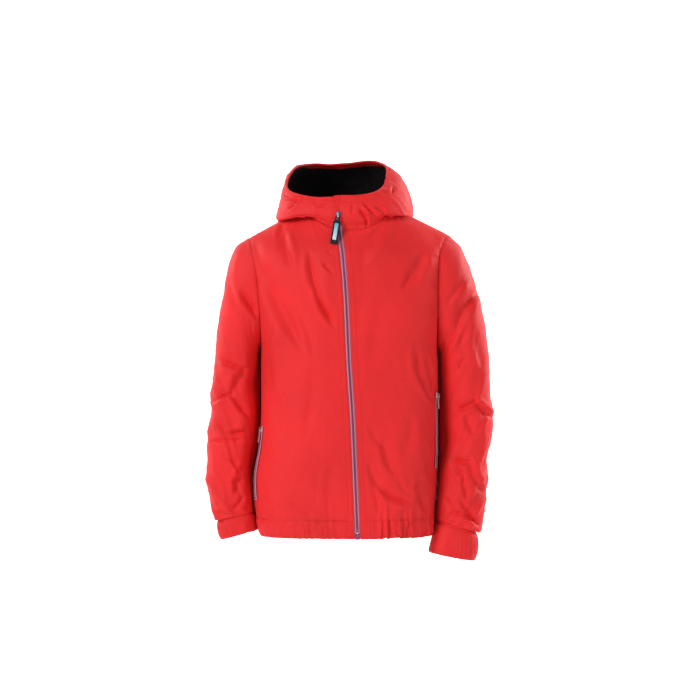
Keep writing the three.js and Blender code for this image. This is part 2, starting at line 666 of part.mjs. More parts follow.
function addSleeve(sign) {
  const name = sideName(sign);
  const rows = numbered(sleeveSections[name]);
  const turns = ringTurns();
  const rings = steps(sleeveRings - 1).map((k) => {
    return sleeveRing(rows, sign, ((rows.length - 1) * k) / (sleeveRings - 1), turns);
  });
  let grid = [armholeRing(sign), ...rings];
  if (sign < 0) grid = grid.map((ring) => [...ring].reverse());
  grid = pressFolds(grid, sleeveFolds[name], -1, true);
  const level = { first: vec(1, 0, 0), last: armDirection(rows, sign, rows.length - 1) };
  addPiece(`sleeve_${name}`, clothSheet(grid, clothThickness, { ring: true, level }), 'shell');
}

function addCuff(sign) {
  const name = sideName(sign);
  const rows = numbered(cuffSections[name]);
  const down = armDirection(rows, sign, 0);
  if (down.z > 0) down.negate();
  let grid = steps(cuffRings).map((k) => sleeveRing(rows, sign, k, ringTurns()));
  grid = grid.map((ring) => ring.map((point) => point.addScaledVector(down, seamGap)));
  if (sign < 0) grid = grid.map((ring) => [...ring].reverse());
  const level = { first: down, last: armDirection(rows, sign, cuffRings) };
  addPiece(`cuff_${name}`, clothSheet(grid, clothThickness, { ring: true, level }), 'seamBand');
}

// Hood: from the neck seam out over the shoulders and back, and up to its edge round the face opening
function neckRing() {
  const left = neckPlaces(1).map((x) => bodyPoint('front', x, neckSeamZ('front', x)));
  const back = backNeckPlaces().slice(1, -1).map((x) => bodyPoint('back', x, neckSeamZ('back', x)));
  const right = neckPlaces(-1).reverse().map((x) => bodyPoint('front', x, neckSeamZ('front', x)));
  return [...left, ...back, ...right];
}

function hoodGap(z) {
  return mix(zipGapHalf, collarGapHalf, smoothStep(zipTopZ, collarClosesZ, z));
}

function hoodWeights(turn) {
  const side = turn > 0 ? 'left' : 'right';
  const away = Math.abs(turn);
  const back = smoothStep(hoodBackTurns.from, hoodBackTurns.to, away);
  const front = 1 - smoothStep(hoodFrontTurns.from, hoodFrontTurns.to, away);
  return [{ name: 'front', share: front }, { name: 'back', share: back }, { name: side, share: 1 - front - back }];
}

// The hood rests on the shoulders and the upper back: a point inside them is lifted out
function liftOffBody(point, clearance) {
  if (clearance === 0) return;
  const face = point.y < 0 ? 'front' : 'back';
  const inBody = () => {
    const depth = bodyDepth(face, point.x, point.z - clearance);
    return depth > 0 && Math.abs(point.y) < depth + clearance;
  };
  while (inBody()) point.z += liftStep;
}

function hoodColumn(seam, index, count) {
  const turn = THREE.MathUtils.radToDeg(Math.atan2(seam.x, -seam.y));
  const edge = vec(...['x', 'y', 'z'].map((axis) => readTable(hoodEdge, 'turn', turn, axis)));
  const outward = vec(seam.x, seam.y, 0).normalize();
  const weights = hoodWeights(turn);
  return steps(hoodRows).map((k) => {
    const up = k / hoodRows;
    const point = seam.clone().lerp(edge, up);
    for (const { name, share } of weights) {
      point.addScaledVector(outward, share * readTable(hoodFullness, 'up', up, `${name}Out`));
      point.z -= share * readTable(hoodFullness, 'up', up, `${name}Drop`);
    }
    point.z += seamGap;
    liftOffBody(point, Math.min(hoodClearance, k));
    if (index === 0) point.x = zipX(point.z) + hoodGap(point.z);
    if (index === count - 1) point.x = zipX(point.z) - hoodGap(point.z);
    return point;
  });
}

function hoodGrid() {
  const ring = neckRing();
  return gridOfColumns(ring.map((seam, k) => hoodColumn(seam, k, ring.length)));
}

// Part of the hood between two columns; inner cut edges step back by half the seam gap
function hoodPanel(grid, normals, from, to) {
  const last = grid[0].length - 1;
  const rows = grid.map((row) => {
    const part = row.slice(from, to + 1).map((point) => point.clone());
    const stepBack = (point, towards) => {
      point.add(towards.clone().sub(point).setLength(seamGap / 2));
    };
    if (from > 0) stepBack(part[0], part[1]);
    if (to < last) stepBack(part[part.length - 1], part[part.length - 2]);
    return part;
  });
  return sheetBetween(rows, moved(rows, normals.map((row) => row.slice(from, to + 1)), -clothThickness), false);
}

function hoodNormals(grid) {
  const edgeCut = vec(1, 0, 0);
  return levelEdges(gridNormals(grid, false), { start: edgeCut, end: edgeCut, first: vec(0, 0, 1) });
}

function addHood() {
  const grid = hoodGrid();
  const normals = hoodNormals(grid);
  const last = grid[0].length - 1;
  addPiece('hood_left', hoodPanel(grid, normals, 0, hoodSideColumns), 'shell');
  addPiece('hood_middle', hoodPanel(grid, normals, hoodSideColumns, last - hoodSideColumns), 'shell');
  addPiece('hood_right', hoodPanel(grid, normals, last - hoodSideColumns, last), 'shell');
  addHoodInside(grid, normals);
}

// Lining and edge facing, moved in from the hood's own points
function addHoodInside(grid, normals) {
  const inside = moved(grid, normals, -(clothThickness + layerGap)).map((row) => row.slice(1, -1));
  const directions = normals.map((row) => row.slice(1, -1));
  const facingRow = Math.round(facingFrom * hoodRows);
  const liningRow = Math.max(1, Math.round(liningFrom * hoodRows));
  const strip = (from, to, topGap) => {
    const rows = inside.slice(from, to + 1).map((row) => row.map((point) => point.clone()));
    const below = inside[to - 1];
    rows[rows.length - 1].forEach((point, i) => point.lerp(below[i], topGap));
    return sheetBetween(rows, moved(rows, directions.slice(from, to + 1), -liningThickness), false);
  };
  addPiece('hood_lining', strip(liningRow, facingRow, facingGapShare), 'lining');
  addPiece('hood_facing', strip(facingRow, hoodRows, 0), 'shell');
}

// Middle of the front, from the hem up over the body and then up the standing collar
function frontPoint(x, z) {
  if (z <= frontNeckZ) return bodyPoint('front', x, z);
  const seam = bodyPoint('front', x, neckSeamZ('front', x));
  const turn = THREE.MathUtils.radToDeg(Math.atan2(seam.x, -seam.y));
  const up = (z - seam.z) / (readTable(hoodEdge, 'turn', turn, 'z') - seam.z);
  const out = readTable(hoodFullness, 'up', up, 'frontOut');
  return vec(x, mix(seam.y, readTable(hoodEdge, 'turn', turn, 'y'), up) - out, z);
}

// Front zip: tapes behind both front edges, and the closed chain between them
function zipRows() {
  const onBody = bodyColumn('front', 1, neckPlaces(1)[0], zipBottomZ).map((point) => point.z);
  const onCollar = steps(collarRows).slice(1).map((k) => mix(frontNeckZ, tapeTopZ, k / collarRows));
  return [...onBody, ...onCollar];
}

// The row where body and collar meet follows the neck seam
function zipPoint(x, z, row) {
  const onNeckSeam = row === lowerRows + armholeRows;
  return frontPoint(x, onNeckSeam ? neckSeamZ('front', x) : z);
}

function addZip() {
  const rows = zipRows();
  for (const sign of [1, -1]) {
    const behind = clothThickness + tapeGap;
    const offsets = [collarGapHalf, zipGapHalf, zipGapHalf + tapeUnderlap];
    const grid = rows.map((z, k) => offsets.map((across) => zipPoint(zipX(z) + sign * across, z, k)));
    const ordered = grid.map((row) => (sign > 0 ? row : [...row].reverse()));
    const tape = moved(ordered, gridNormals(ordered, false), -behind);
    const level = { first: vec(0, 0, 1), last: vec(0, 0, 1), start: vec(1, 0, 0), end: vec(1, 0, 0) };
    addPiece(`zip_tape_${sideName(sign)}`, clothSheet(tape, liningThickness, { level }), 'tape');
  }
  const chainRows = [...rows.filter((z) => z < zipTopZ), zipTopZ];
  const line = chainRows.map((z, k) => [-chainHalfWidth, chainHalfWidth].map((across) => {
    return zipPoint(zipX(z) + across, z, k);
  }));
  const proud = chainDepth - clothThickness - tapeGap + seamGap;
  const chain = moved(line, gridNormals(line, false), proud);
  const level = { first: vec(0, 0, 1), last: vec(0, 0, 1), start: vec(1, 0, 0), end: vec(1, 0, 0) };
  addPiece('zip_chain', clothSheet(chain, chainDepth, { level }), 'coil');
}

// Pocket zips, moved out from the front panels
function addPocketZip(sign) {
  const name = sideName(sign);
  const { topZ, bottomZ } = pockets[name];
  const grid = steps(pocketRows).map((k) => {
    const z = mix(bottomZ, topZ, k / pocketRows);
    return [-pocketHalfWidth, 0, pocketHalfWidth].map((across) => pocketPoint(sign, z, across));
  });
  const ordered = grid.map((row) => (sign > 0 ? row : [...row].reverse()));
  const base = moved(ordered, gridNormals(ordered, false), layerGap + pocketThickness);
  addPiece(`pocket_zip_${name}`, clothSheet(base, pocketThickness), 'tape');
}

// A point of the front panel a given way behind or before the pocket's line
function pocketPoint(sign, z, back) {
  const depth = pocketForward - back;
  const full = readTable(bodySections, 'z', z, 'front');
  const square = readTable(bodySections, 'z', z, 'square');
  const x = sideReach(sign, z) * (1 - (depth / full) ** square) ** (1 / square);
  return vec(sign * x, -depth - seamGap / 2, z);
}

const mergeDistance = 1e-4;

function toManifold(geometry) {
  const bare = new THREE.BufferGeometry();
  const source = geometry.index ? geometry.toNonIndexed() : geometry;
  bare.setAttribute('position', source.getAttribute('position').clone());
  const merged = mergeVertices(bare, mergeDistance);
  const mesh = new wasm.Mesh({
    numProp: 3,
    vertProperties: new Float32Array(merged.getAttribute('position').array),
    triVerts: new Uint32Array(merged.index.array),
  });
  return new wasm.Manifold(mesh);
}

function fromManifold(solid) {
  const mesh = solid.getMesh();
  const geometry = new THREE.BufferGeometry();
  geometry.setAttribute('position', new THREE.Float32BufferAttribute(mesh.vertProperties, 3));
  geometry.setIndex([...mesh.triVerts]);
  geometry.computeVertexNormals();
  return geometry;
}

// Slider in its own frame: X across the zip, Y out of the cloth, Z up along the zip
function sliderGeometry(size) {
  const outline = new THREE.Shape();
  const half = size.width / 2;
  const low = -size.length / 2;
  const high = size.length / 2;
  const waist = low + size.length * sliderShape.waist;
  outline.moveTo(-half * sliderShape.foot, low);
  outline.lineTo(half * sliderShape.foot, low);
  outline.lineTo(half, waist);
  outline.lineTo(half * sliderShape.head, high);
  outline.lineTo(-half * sliderShape.head, high);
  outline.lineTo(-half, waist);
  outline.closePath();
  const plate = new THREE.ExtrudeGeometry(outline, { depth: size.plate, bevelEnabled: false });
  plate.rotateX(Math.PI / 2);
  plate.translate(0, size.plate, 0);
  const arch = new THREE.Shape();
  const reach = size.bridgeLength / 2;
  const { sunk } = sliderShape;
  const bridgeShoulder = size.bridgeHeight * sliderShape.bridgeShoulder;
  const flat = reach * sliderShape.bridgeFlat;
  arch.moveTo(-reach, -sunk);
  arch.lineTo(-reach, bridgeShoulder);
  arch.lineTo(-flat, size.bridgeHeight);
  arch.lineTo(flat, size.bridgeHeight);
  arch.lineTo(reach, bridgeShoulder);
  arch.lineTo(reach, -sunk);
  arch.lineTo(reach - size.bridgeBar, -sunk);
  arch.lineTo(reach - size.bridgeBar, size.bridgeHeight - size.bridgeBar);
  arch.lineTo(-reach + size.bridgeBar, size.bridgeHeight - size.bridgeBar);
  arch.lineTo(-reach + size.bridgeBar, -sunk);
  arch.closePath();
  const bridge = new THREE.ExtrudeGeometry(arch, { depth: size.bridgeWidth, bevelEnabled: false });
  bridge.translate(0, 0, -size.bridgeWidth / 2);
  bridge.rotateY(-Math.PI / 2);
  bridge.translate(0, size.plate, 0);
  return fromManifold(toManifold(plate).add(toManifold(bridge)));
}

// Pull tab in the same frame, its bar on the X axis and its length down -Z
function pullGeometry(size) {
  const outline = new THREE.Shape();
  const neck = size.neckWidth / 2;
  const half = size.width / 2;
  const top = size.bar / 2;
  const shoulderZ = top - size.bar * 2 - size.eyeLength;
  const corner = size.width * pullCornerShare;
  const low = top - size.length;
  outline.moveTo(-neck, top);
  outline.lineTo(-neck, shoulderZ + corner);
  outline.lineTo(-half, shoulderZ - corner);
  outline.lineTo(-half, low + corner);
  outline.lineTo(-half + corner, low);
  outline.lineTo(half - corner, low);
  outline.lineTo(half, low + corner);
  outline.lineTo(half, shoulderZ - corner);
  outline.lineTo(neck, shoulderZ + corner);
  outline.lineTo(neck, top);
  outline.closePath();
  const eye = new THREE.Path();
  const eyeHalf = size.eyeWidth / 2;
  eye.moveTo(-eyeHalf, -top);
  eye.lineTo(eyeHalf, -top);
  eye.lineTo(eyeHalf, -top - size.eyeLength);
  eye.lineTo(-eyeHalf, -top - size.eyeLength);
  eye.closePath();
  outline.holes.push(eye);
  const tab = new THREE.ExtrudeGeometry(outline, { depth: size.thickness, bevelEnabled: false });
  tab.translate(0, 0, -size.thickness / 2);
  tab.rotateX(Math.PI / 2);
  return tab;
}

// Seat a slider and its pull on the cloth, between two points of the zip's line; the bar of the pull
// turns inside the slider's bridge
function addSlider(prefix, sizes, seat, below, outward) {
  const upward = seat.clone().sub(below).normalize();
  const side = outward.clone().cross(upward).normalize();
  const square = upward.clone().cross(side).normalize();
  const turn = new THREE.Matrix4().makeBasis(side, square, upward).setPosition(seat);
  const body = sliderGeometry(sizes.slider);
  body.applyMatrix4(turn);
  addPiece(`${prefix}_slider`, body, 'metal');
  const { plate, bridgeHeight, bridgeBar, bridgeLength } = sizes.slider;
  const barReach = Math.hypot(sizes.pull.bar, sizes.pull.thickness) / 2;
  const barZ = bridgeBar + seamGap + barReach - bridgeLength / 2;
  const swing = new THREE.Matrix4().makeTranslation(0, plate + (bridgeHeight - bridgeBar) / 2, barZ);
  swing.multiply(new THREE.Matrix4().makeRotationY(THREE.MathUtils.degToRad(sizes.leanDegrees)));
  swing.multiply(new THREE.Matrix4().makeRotationX(THREE.MathUtils.degToRad(sizes.tiltDegrees)));
  const tab = pullGeometry(sizes.pull);
  const place = turn.multiply(swing);
  tab.applyMatrix4(place);
  addPiece(`${prefix}_pull`, tab, sizes.pullFinish);
}

// Outward direction of the front at a place, from points a little apart
function outwardFrom(place) {
  const step = 2;
  const across = place(step, 0).sub(place(-step, 0));
  const along = place(0, step).sub(place(0, -step));
  return across.cross(along).normalize();
}

function addFrontSlider() {
  const place = (across, up) => frontPoint(zipX(sliderZ + up) + across, sliderZ + up);
  const outward = outwardFrom(place);
  const lift = chainDepth - clothThickness - tapeGap + 2 * seamGap + chainDepth / 4;
  const seat = place(0, 0).addScaledVector(outward, lift);
  const below = place(0, -frontSlider.slider.length / 2).addScaledVector(outward, lift);
  addSlider('zip', frontSlider, seat, below, outward);
}

function addPocketSlider(sign) {
  const name = sideName(sign);
  const seatZ = pockets[name].topZ - pocketSlider.slider.length / 2;
  const place = (back, up) => pocketPoint(sign, seatZ + up, back * sign);
  const outward = outwardFrom(place);
  const lift = layerGap + pocketThickness + seamGap;
  const seat = place(0, 0).addScaledVector(outward, lift);
  const below = place(0, -pocketSlider.pull.length).addScaledVector(outward, lift);
  addSlider(`pocket_${name}`, pocketSlider, seat, below, outward);
}

// Box at the foot of the zip, between the two front edges of the hem
function addZipBox() {
  const box = new THREE.BoxGeometry(zipBox.width, zipBox.depth, zipBox.height);
  const z = zipBottomZ - seamGap - zipBox.height / 2;
  const seat = frontPoint(zipX(z), z);
  box.translate(seat.x, seat.y + clothThickness, z);
  addPiece('zip_box', box, 'coil');
}

addBody();
addHem();
for (const sign of [1, -1]) {
  addSleeve(sign);
  addCuff(sign);
}
addHood();
addZip();
addZipBox();
addFrontSlider();
for (const sign of [1, -1]) {
  addPocketZip(sign);
  addPocketSlider(sign);
}

export default jacket;
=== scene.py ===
"""Kids' rain jacket in its worn shape, dressed over the packed part.

The tables and shape functions work in millimetres: +X is the left side as worn, -Y the front, +Z up.
A grid is an array of rows, columns and X, Y, Z. Lengths become metres when a mesh is made.
"""

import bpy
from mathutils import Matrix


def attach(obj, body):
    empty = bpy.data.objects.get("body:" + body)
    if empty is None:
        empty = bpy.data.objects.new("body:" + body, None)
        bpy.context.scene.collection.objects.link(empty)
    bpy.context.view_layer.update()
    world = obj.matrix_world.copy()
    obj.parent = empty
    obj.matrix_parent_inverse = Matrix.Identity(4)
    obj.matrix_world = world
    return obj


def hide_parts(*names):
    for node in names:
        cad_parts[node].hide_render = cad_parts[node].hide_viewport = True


bl_info = {
    "name": "Kids rain jacket",
    "version": (1, 0, 0),
    "blender": (4, 5, 0),
    "location": "3D View > Sidebar > Rain jacket",
    "description": "Builds a kids' rain jacket: cloth, zips, stitching and stage",
    "category": "Object",
}

import math

import bpy
import numpy as np

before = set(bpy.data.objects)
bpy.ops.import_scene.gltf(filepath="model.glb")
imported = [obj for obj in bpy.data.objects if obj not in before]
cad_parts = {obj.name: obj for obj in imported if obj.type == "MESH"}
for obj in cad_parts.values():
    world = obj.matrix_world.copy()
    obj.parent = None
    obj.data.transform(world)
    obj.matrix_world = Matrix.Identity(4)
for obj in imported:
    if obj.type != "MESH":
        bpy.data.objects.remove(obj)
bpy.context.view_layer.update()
MM = 0.001


def table(names, *rows):
    """The named columns of a table, from its rows."""
    return dict(zip(names.split(), np.array(rows, float).T))


# Body, neck and shoulders
HEM_BOTTOM_Z, HEM_SEAM_Z, ARMPIT_Z = -538, -507, -215
NECK_HALF, NECK_POINT_Z, FRONT_NECK_Z, BACK_NECK_Z = 75, 26, -18, 20
FRONT_NECK_POWER, NECK_RIDGE_RISE = 2.7, 29
NECK_ROUND, TIP_ROUND = 110, 65
ARMHOLE_DEPTH, ARMHOLE_RISE = 60, 95
SHOULDERS = {
    1: {"side": "left", "slope": 0.5, "tip": 170, "power": 8},
    -1: {"side": "right", "slope": 0.55, "tip": 171, "power": 2.4},
}
BODY = table(
    "z right left front back square",
    (-545, 149, 137, 98, 100, 2.6),
    (-507, 158, 144, 103, 105, 2.7),
    (-470, 163, 148.5, 107, 107, 2.8),
    (-430, 163, 151, 109, 107, 2.8),
    (-385, 155, 152.5, 110, 105, 2.8),
    (-330, 151, 153, 110, 103, 2.7),
    (-240, 151, 152.5, 110, 104, 2.8),
    (-215, 150.5, 151, 109, 105, 2.9),
    (-120, 150.5, 151, 105, 109, 2.8),
    (-60, 150.5, 151, 96, 107, 2.6),
    (-18, 150.5, 151, 79, 99, 2.4),
    (60, 150.5, 151, 70, 86, 2.4),
)

# Front zip: its middle line and the widths beside it
ZIP_LINE = table(
    "z x",
    (-545, 14.8),
    (-439, 10.5),
    (-337, 6),
    (-236, -0.5),
    (-136, -5),
    (-69, -10),
    (-35, -14),
    (8, -18),
    (45, -17),
)
ZIP_GAP, COLLAR_GAP = 5, 0.5
ZIP_BOTTOM_Z, ZIP_TOP_Z, TAPE_TOP_Z, COLLAR_CLOSES_Z = -528, 2, 29, 15
TAPE_UNDERLAP, TAPE_DEPTH, TAPE_RISE = 6, 2.3, 0.9
SEAM_GAP = 0.3
SLIDER_Z = 8

# Sleeves and cuffs: outer and inner edge from the front, middle and half depth front to back
SLEEVES = {
    1: table(
        "out_x out_z in_x in_z y half",
        (191, -41, 152.6, -217, 1, 61),
        (203, -69, 154, -219.5, 1, 60),
        (216.5, -110, 155.4, -223, 1, 58),
        (227, -151, 156.4, -228.5, 0, 55.5),
        (235.5, -193, 157.2, -238, 0, 53),
        (240.8, -234, 158, -254, -1, 51),
        (244, -275, 160, -284, -2, 49.5),
        (245.5, -310, 162.5, -312, -3, 48),
        (246, -336, 164, -337, -4, 47),
        (243.5, -366, 166.5, -366, -5, 46.5),
        (240.5, -396, 164, -392, -7, 46),
        (239, -426, 157, -419, -9, 45),
        (236, -456, 154, -446, -12, 43.5),
        (232.5, -486, 151.5, -471, -15, 41),
        (231, -514, 150.5, -494, -18, 38),
        (226.5, -530, 150.5, -507, -20, 34.5),
        (217.5, -531.5, 151.5, -512, -21, 31),
    ),
    -1: table(
        "out_x out_z in_x in_z y half",
        (193, -41, 152.6, -217, 1, 61),
        (206, -69, 153.6, -219.5, 1, 60),
        (214, -110, 154.6, -223, 1, 58),
        (222, -151, 155.4, -228.5, 0, 55.5),
        (227, -193, 156, -237, 0, 53),
        (231, -234, 157.5, -251, -1, 51),
        (236, -275, 163, -278, -2, 49.5),
        (239, -305, 160, -305, -3, 48),
        (240, -335, 159, -333, -4, 47),
        (242.5, -365, 161, -360, -5, 46),
        (243, -392, 166, -386, -6, 45),
        (244, -417, 170, -409, -8, 44),
        (243.5, -443, 170.5, -433, -10, 42.5),
        (241.5, -470, 167.5, -457, -13, 40),
        (237, -494, 165.5, -478, -15, 36.5),
        (231.5, -510, 164, -492, -17, 32.5),
        (225, -512, 163.5, -497, -18, 29.5),
    ),
}
CUFFS = {
    1: table(
        "out_x out_z in_x in_z y half",
        (217.5, -531.5, 151.5, -512, -21, 31),
        (218.5, -548, 146, -530, -22, 32.5),
        (217, -564, 141, -547, -23, 34.5),
        (214, -579, 136, -564, -24, 36),
    ),
    -1: table(
        "out_x out_z in_x in_z y half",
        (225, -512, 163.5, -497, -18, 29.5),
        (223, -523, 163, -508, -19, 29),
        (220, -533, 163, -518, -19, 28.5),
        (217, -543, 163.5, -528, -20, 28),
    ),
}

# How far behind its place, and how near to the body, the inner side of a hanging sleeve rests
REST_BACK, REST_GAP = 17, 2.8
# How far the cuff's upper edge goes up into the sleeve and in from it
CUFF_TUCK = 2.6

# Hood worn down: its edge by the turn in degrees from the front towards the left side
HOOD_EDGE = table(
    "turn x y z",
    (-180, -12, 92, 113),
    (-155, -58, 82, 111),
    (-130, -87, 52, 104),
    (-108, -102, 20, 86),
    (-90, -108, -8, 68),
    (-72, -105, -34, 54),
    (-50, -84, -58, 44),
    (-25, -50, -71, 38),
    (0, -17, -76, 41),
    (25, 16, -73, 42),
    (50, 44, -57, 49),
    (72, 58, -32, 61),
    (90, 63, -8, 75),
    (108, 66, 22, 92),
    (130, 60, 54, 105),
    (155, 32, 83, 112),
    (180, -12, 92, 113),
)
# How far its cloth stands out and hangs down between the neck seam and the edge
HOOD_FULLNESS = table(
    "up front_out front_drop left_out left_drop back_out back_drop right_out right_drop",
    (0, 0, 0, 0, 0, 0, 0, 0, 0),
    (0.1, 2, 0, 11, 8, 16, 16, 12, 8),
    (0.2, 4, 0, 21, 19, 31, 60, 23, 19),
    (0.3, 5, 0, 30, 30, 44, 106, 32, 31),
    (0.4, 6, 0, 35, 32, 60, 120, 36, 36),
    (0.5, 6, 0, 36, 28, 72, 100, 32, 31),
    (0.6, 5, 0, 35, 22, 76, 74, 25, 24),
    (0.7, 4, 0, 32, 16, 68, 48, 18, 17),
    (0.8, 3, 0, 26, 10, 54, 22, 12, 11),
    (0.9, 1, 0, 17, 4, 31, 6, 6, 5),
    (1, 0, 0, 0, 0, 0, 0, 0, 0),
)
LINING_FROM, LINING_FROM_BESIDE, FACING_WIDTH = 0.09, 0.45, 15

# Creases seen from the front or back: start and end in X and Z, depth, half width, bow, and the
# side on which a ridge stands (1 or -1, as seen to the right or left of its direction)
FRONT_CREASES = (
    (-167, -39, -142, -98, 3.5, 11, 2, 1),
    (-142, -94, -80, -215, 7, 13, 4, 1),
    (-111, -22, -97, -80, 4.5, 9, 2, -1),
    (-112, -8, -120, -34, 2.5, 6, 0, 1),
    (-67, -58, -54, -122, 5, 8, 2, 1),
    (-56, -116, -24, -180, 5, 7, 3, 1),
    (-52, -134, -26, -180, 2.5, 5, 0, -1),
    (-45, -72, -19, -97, 3.5, 4.5, 1, 1),
    (-36, -53, -27, -61, 2, 3.5, 0, 1),
    (-88, -150, -60, -225, 2.5, 9, -3, 1),
    (-120, -300, -95, -400, 2, 14, 4, 1),
    (-60, -250, -72, -360, 1.6, 12, -3, 1),
    (-142, -210, -128, -290, 2.4, 10, 2, -1),
    (-30, -410, -34, -500, 1.6, 9, 2, 1),
    (-100, -470, -60, -496, 2, 8, 3, 1),
    (-150, -440, -128, -498, 3, 9, 4, -1),
    (129, -54, 98, -113, 5, 11, -3, -1),
    (106, -90, 90, -120, 2.4, 6, 0, -1),
    (56, -28, 20, -72, 2.6, 12, 4, -1),
    (60, -12, 34, -30, 2.4, 6, 2, 1),
    (112, -214, 126, -284, 5, 8, 3, 1),
    (124, -262, 141, -306, 4.5, 6, 2, 1),
    (132, -232, 142, -290, 3.5, 5, -2, -1),
    (60, -130, 40, -240, 1.6, 16, 4, 1),
    (104, -330, 96, -395, 2.2, 11, -3, -1),
    (36, -350, 58, -384, 2.2, 8, 2, 1),
    (58, -372, 76, -428, 4, 9, 3, 1),
    (30, -404, 54, -456, 5, 8, 3, 1),
    (52, -452, 104, -476, 5.5, 7, 5, 1),
    (36, -440, 50, -492, 3, 6, -2, -1),
    (84, -440, 112, -470, 2.4, 7, 3, -1),
    (118, -430, 132, -496, 3, 8, 3, 1),
)
BACK_CREASES = (
    (150, -40, 136, -100, 3.5, 10, 2, 1),
    (140, -92, 90, -195, 6.5, 12, -5, 1),
    (-148, -48, -138, -104, 3.5, 10, 2, -1),
    (-141, -100, -86, -220, 6.5, 13, 5, -1),
    (44, -140, 64, -262, 4, 12, 4, 1),
    (-30, -165, -54, -300, 4, 12, -4, -1),
    (-70, -120, -56, -190, 2.5, 9, 2, 1),
    (92, -230, 70, -330, 3, 11, -3, -1),
    (-128, -325, -58, -398, 5.5, 11, 6, 1),
    (-100, -300, -40, -352, 3.5, 9, 5, 1),
    (122, -345, 46, -412, 5.5, 11, -6, -1),
    (90, -312, 34, -360, 3, 9, -4, -1),
    (-42, -430, -78, -492, 4, 8, 3, -1),
    (30, -420, 60, -492, 4, 8, -3, 1),
    (-118, -440, -108, -498, 3.5, 8, 2, 1),
    (104, -440, 112, -498, 3.5, 8, -2, -1),
    (-4, -440, 4, -498, 3, 8, 2, 1),
)
SLEEVE_CREASES = {
    1: (
        (219, -118, 178, -194, 6.5, 10, 3, -1),
        (180, -188, 152, -228, 6, 9, 0, -1),
        (202, -96, 166, -144, 3.5, 8, 2, -1),
        (205, -168, 188, -216, 3.5, 8, 2, -1),
        (214, -190, 232, -252, 2.5, 10, 2, 1),
        (196, -232, 186, -256, 3, 5, 1, 1),
        (232, -236, 214, -300, 2.5, 9, 3, -1),
        (178, -322, 216, -304, 6.5, 7, 3, 1),
        (210, -304, 246, -336, 6.5, 7, 2, -1),
        (196, -322, 214, -366, 3.5, 8, 2, 1),
        (164, -340, 182, -384, 3, 8, 2, -1),
        (160, -398, 208, -410, 6, 7, 4, 1),
        (204, -406, 230, -462, 5, 8, 4, -1),
        (172, -408, 196, -434, 4.5, 6, 2, 1),
        (194, -430, 202, -474, 4, 6, 2, 1),
        (190, -474, 226, -521, 5.5, 7, 3, 1),
        (150, -508, 180, -494, 4, 6, 2, 1),
        (178, -494, 222, -516, 5, 6, -3, 1),
        (160, -470, 176, -488, 3, 6, 1, -1),
    ),
    -1: (
        (-184, -118, -150, -164, 6.5, 8, 2, 1),
        (-206, -96, -190, -150, 2.5, 8, 2, 1),
        (-222, -234, -170, -253, 6, 7, 3, 1),
        (-168, -248, -200, -298, 5, 9, 4, 1),
        (-196, -293, -236, -309, 6, 6, 3, -1),
        (-200, -298, -152, -342, 6.5, 7, 3, 1),
        (-226, -270, -212, -292, 2.5, 7, 1, 1),
        (-212, -361, -158, -352, 6, 6, 3, -1),
        (-236, -377, -174, -375, 4.5, 6, -3, -1),
        (-226, -340, -206, -356, 3, 6, 2, 1),
        (-167, -408, -194, -464, 7.5, 9, 3, 1),
        (-206, -400, -180, -418, 3.5, 7, 2, 1),
        (-206, -448, -186, -436, 3, 6, 1, 1),
        (-196, -489, -176, -466, 5, 6, 2, 1),
        (-228, -440, -216, -476, 2.5, 7, 1, -1),
        (-226, -496, -198, -500, 3, 5, 1, -1),
    ),
}
SLEEVE_BACK_CREASES = {
    1: (
        (206, -92, 168, -170, 6, 10, 3, -1),
        (232, -196, 190, -246, 5, 9, 3, 1),
        (176, -262, 226, -290, 5.5, 8, 4, 1),
        (170, -318, 236, -330, 6.5, 8, 5, 1),
        (176, -352, 232, -374, 5, 8, 4, -1),
        (166, -404, 228, -428, 5, 8, 4, 1),
        (172, -452, 222, -470, 5, 7, 3, -1),
        (180, -484, 214, -514, 4.5, 7, 2, 1),
    ),
    -1: (
        (-206, -92, -170, -172, 6, 10, -3, 1),
        (-224, -200, -186, -244, 5, 9, -3, -1),
        (-172, -268, -226, -288, 5.5, 8, -4, -1),
        (-168, -316, -232, -334, 6.5, 8, -5, -1),
        (-178, -356, -234, -372, 5, 8, -4, 1),
        (-176, -404, -232, -424, 5, 8, -4, -1),
        (-180, -448, -228, -462, 5, 7, -3, 1),
        (-184, -478, -214, -496, 4, 6, -2, -1),
    ),
}
HOOD_FRONT_CREASES = (
    (19, 18, 29, 3, 6, 4.5, 1, -1),
    (29, 6, 31, -12, 5, 4, 0, -1),
    (25, 28, 44, 9, 4.5, 4, 1, 1),
    (44, 22, 62, 10, 3, 5, -2, 1),
    (76, 60, 72, 44, 3, 3.5, 0, 1),
    (-101, 20, -87, 38, 4.5, 4, 1, 1),
    (-96, 6, -70, 8, 3, 5, 3, 1),
    (-60, 30, -34, 22, 1.6, 6, 2, 1),
    (-25, 34, -15, 10, 2.5, 3, 0, 1),
    (-76, -2, -40, -16, 3, 5, -2, 1),
    (-44, -12, -30, -8, 2, 3, 0, 1),
    (8, 26, 4, 8, 1.5, 4, 0, 1),
)
HOOD_BACK_CREASES = (
    (-70, 40, -44, -40, 6, 10, 4, 1),
    (62, 44, 38, -38, 6, 10, -4, -1),
    (-14, 70, -22, 10, 4, 9, 2, 1),
    (20, 60, 14, -30, 4, 9, -2, -1),
    (-40, 84, 30, 78, 3, 7, 4, 1),
    (-52, -30, 44, -34, 4, 7, 5, 1),
)

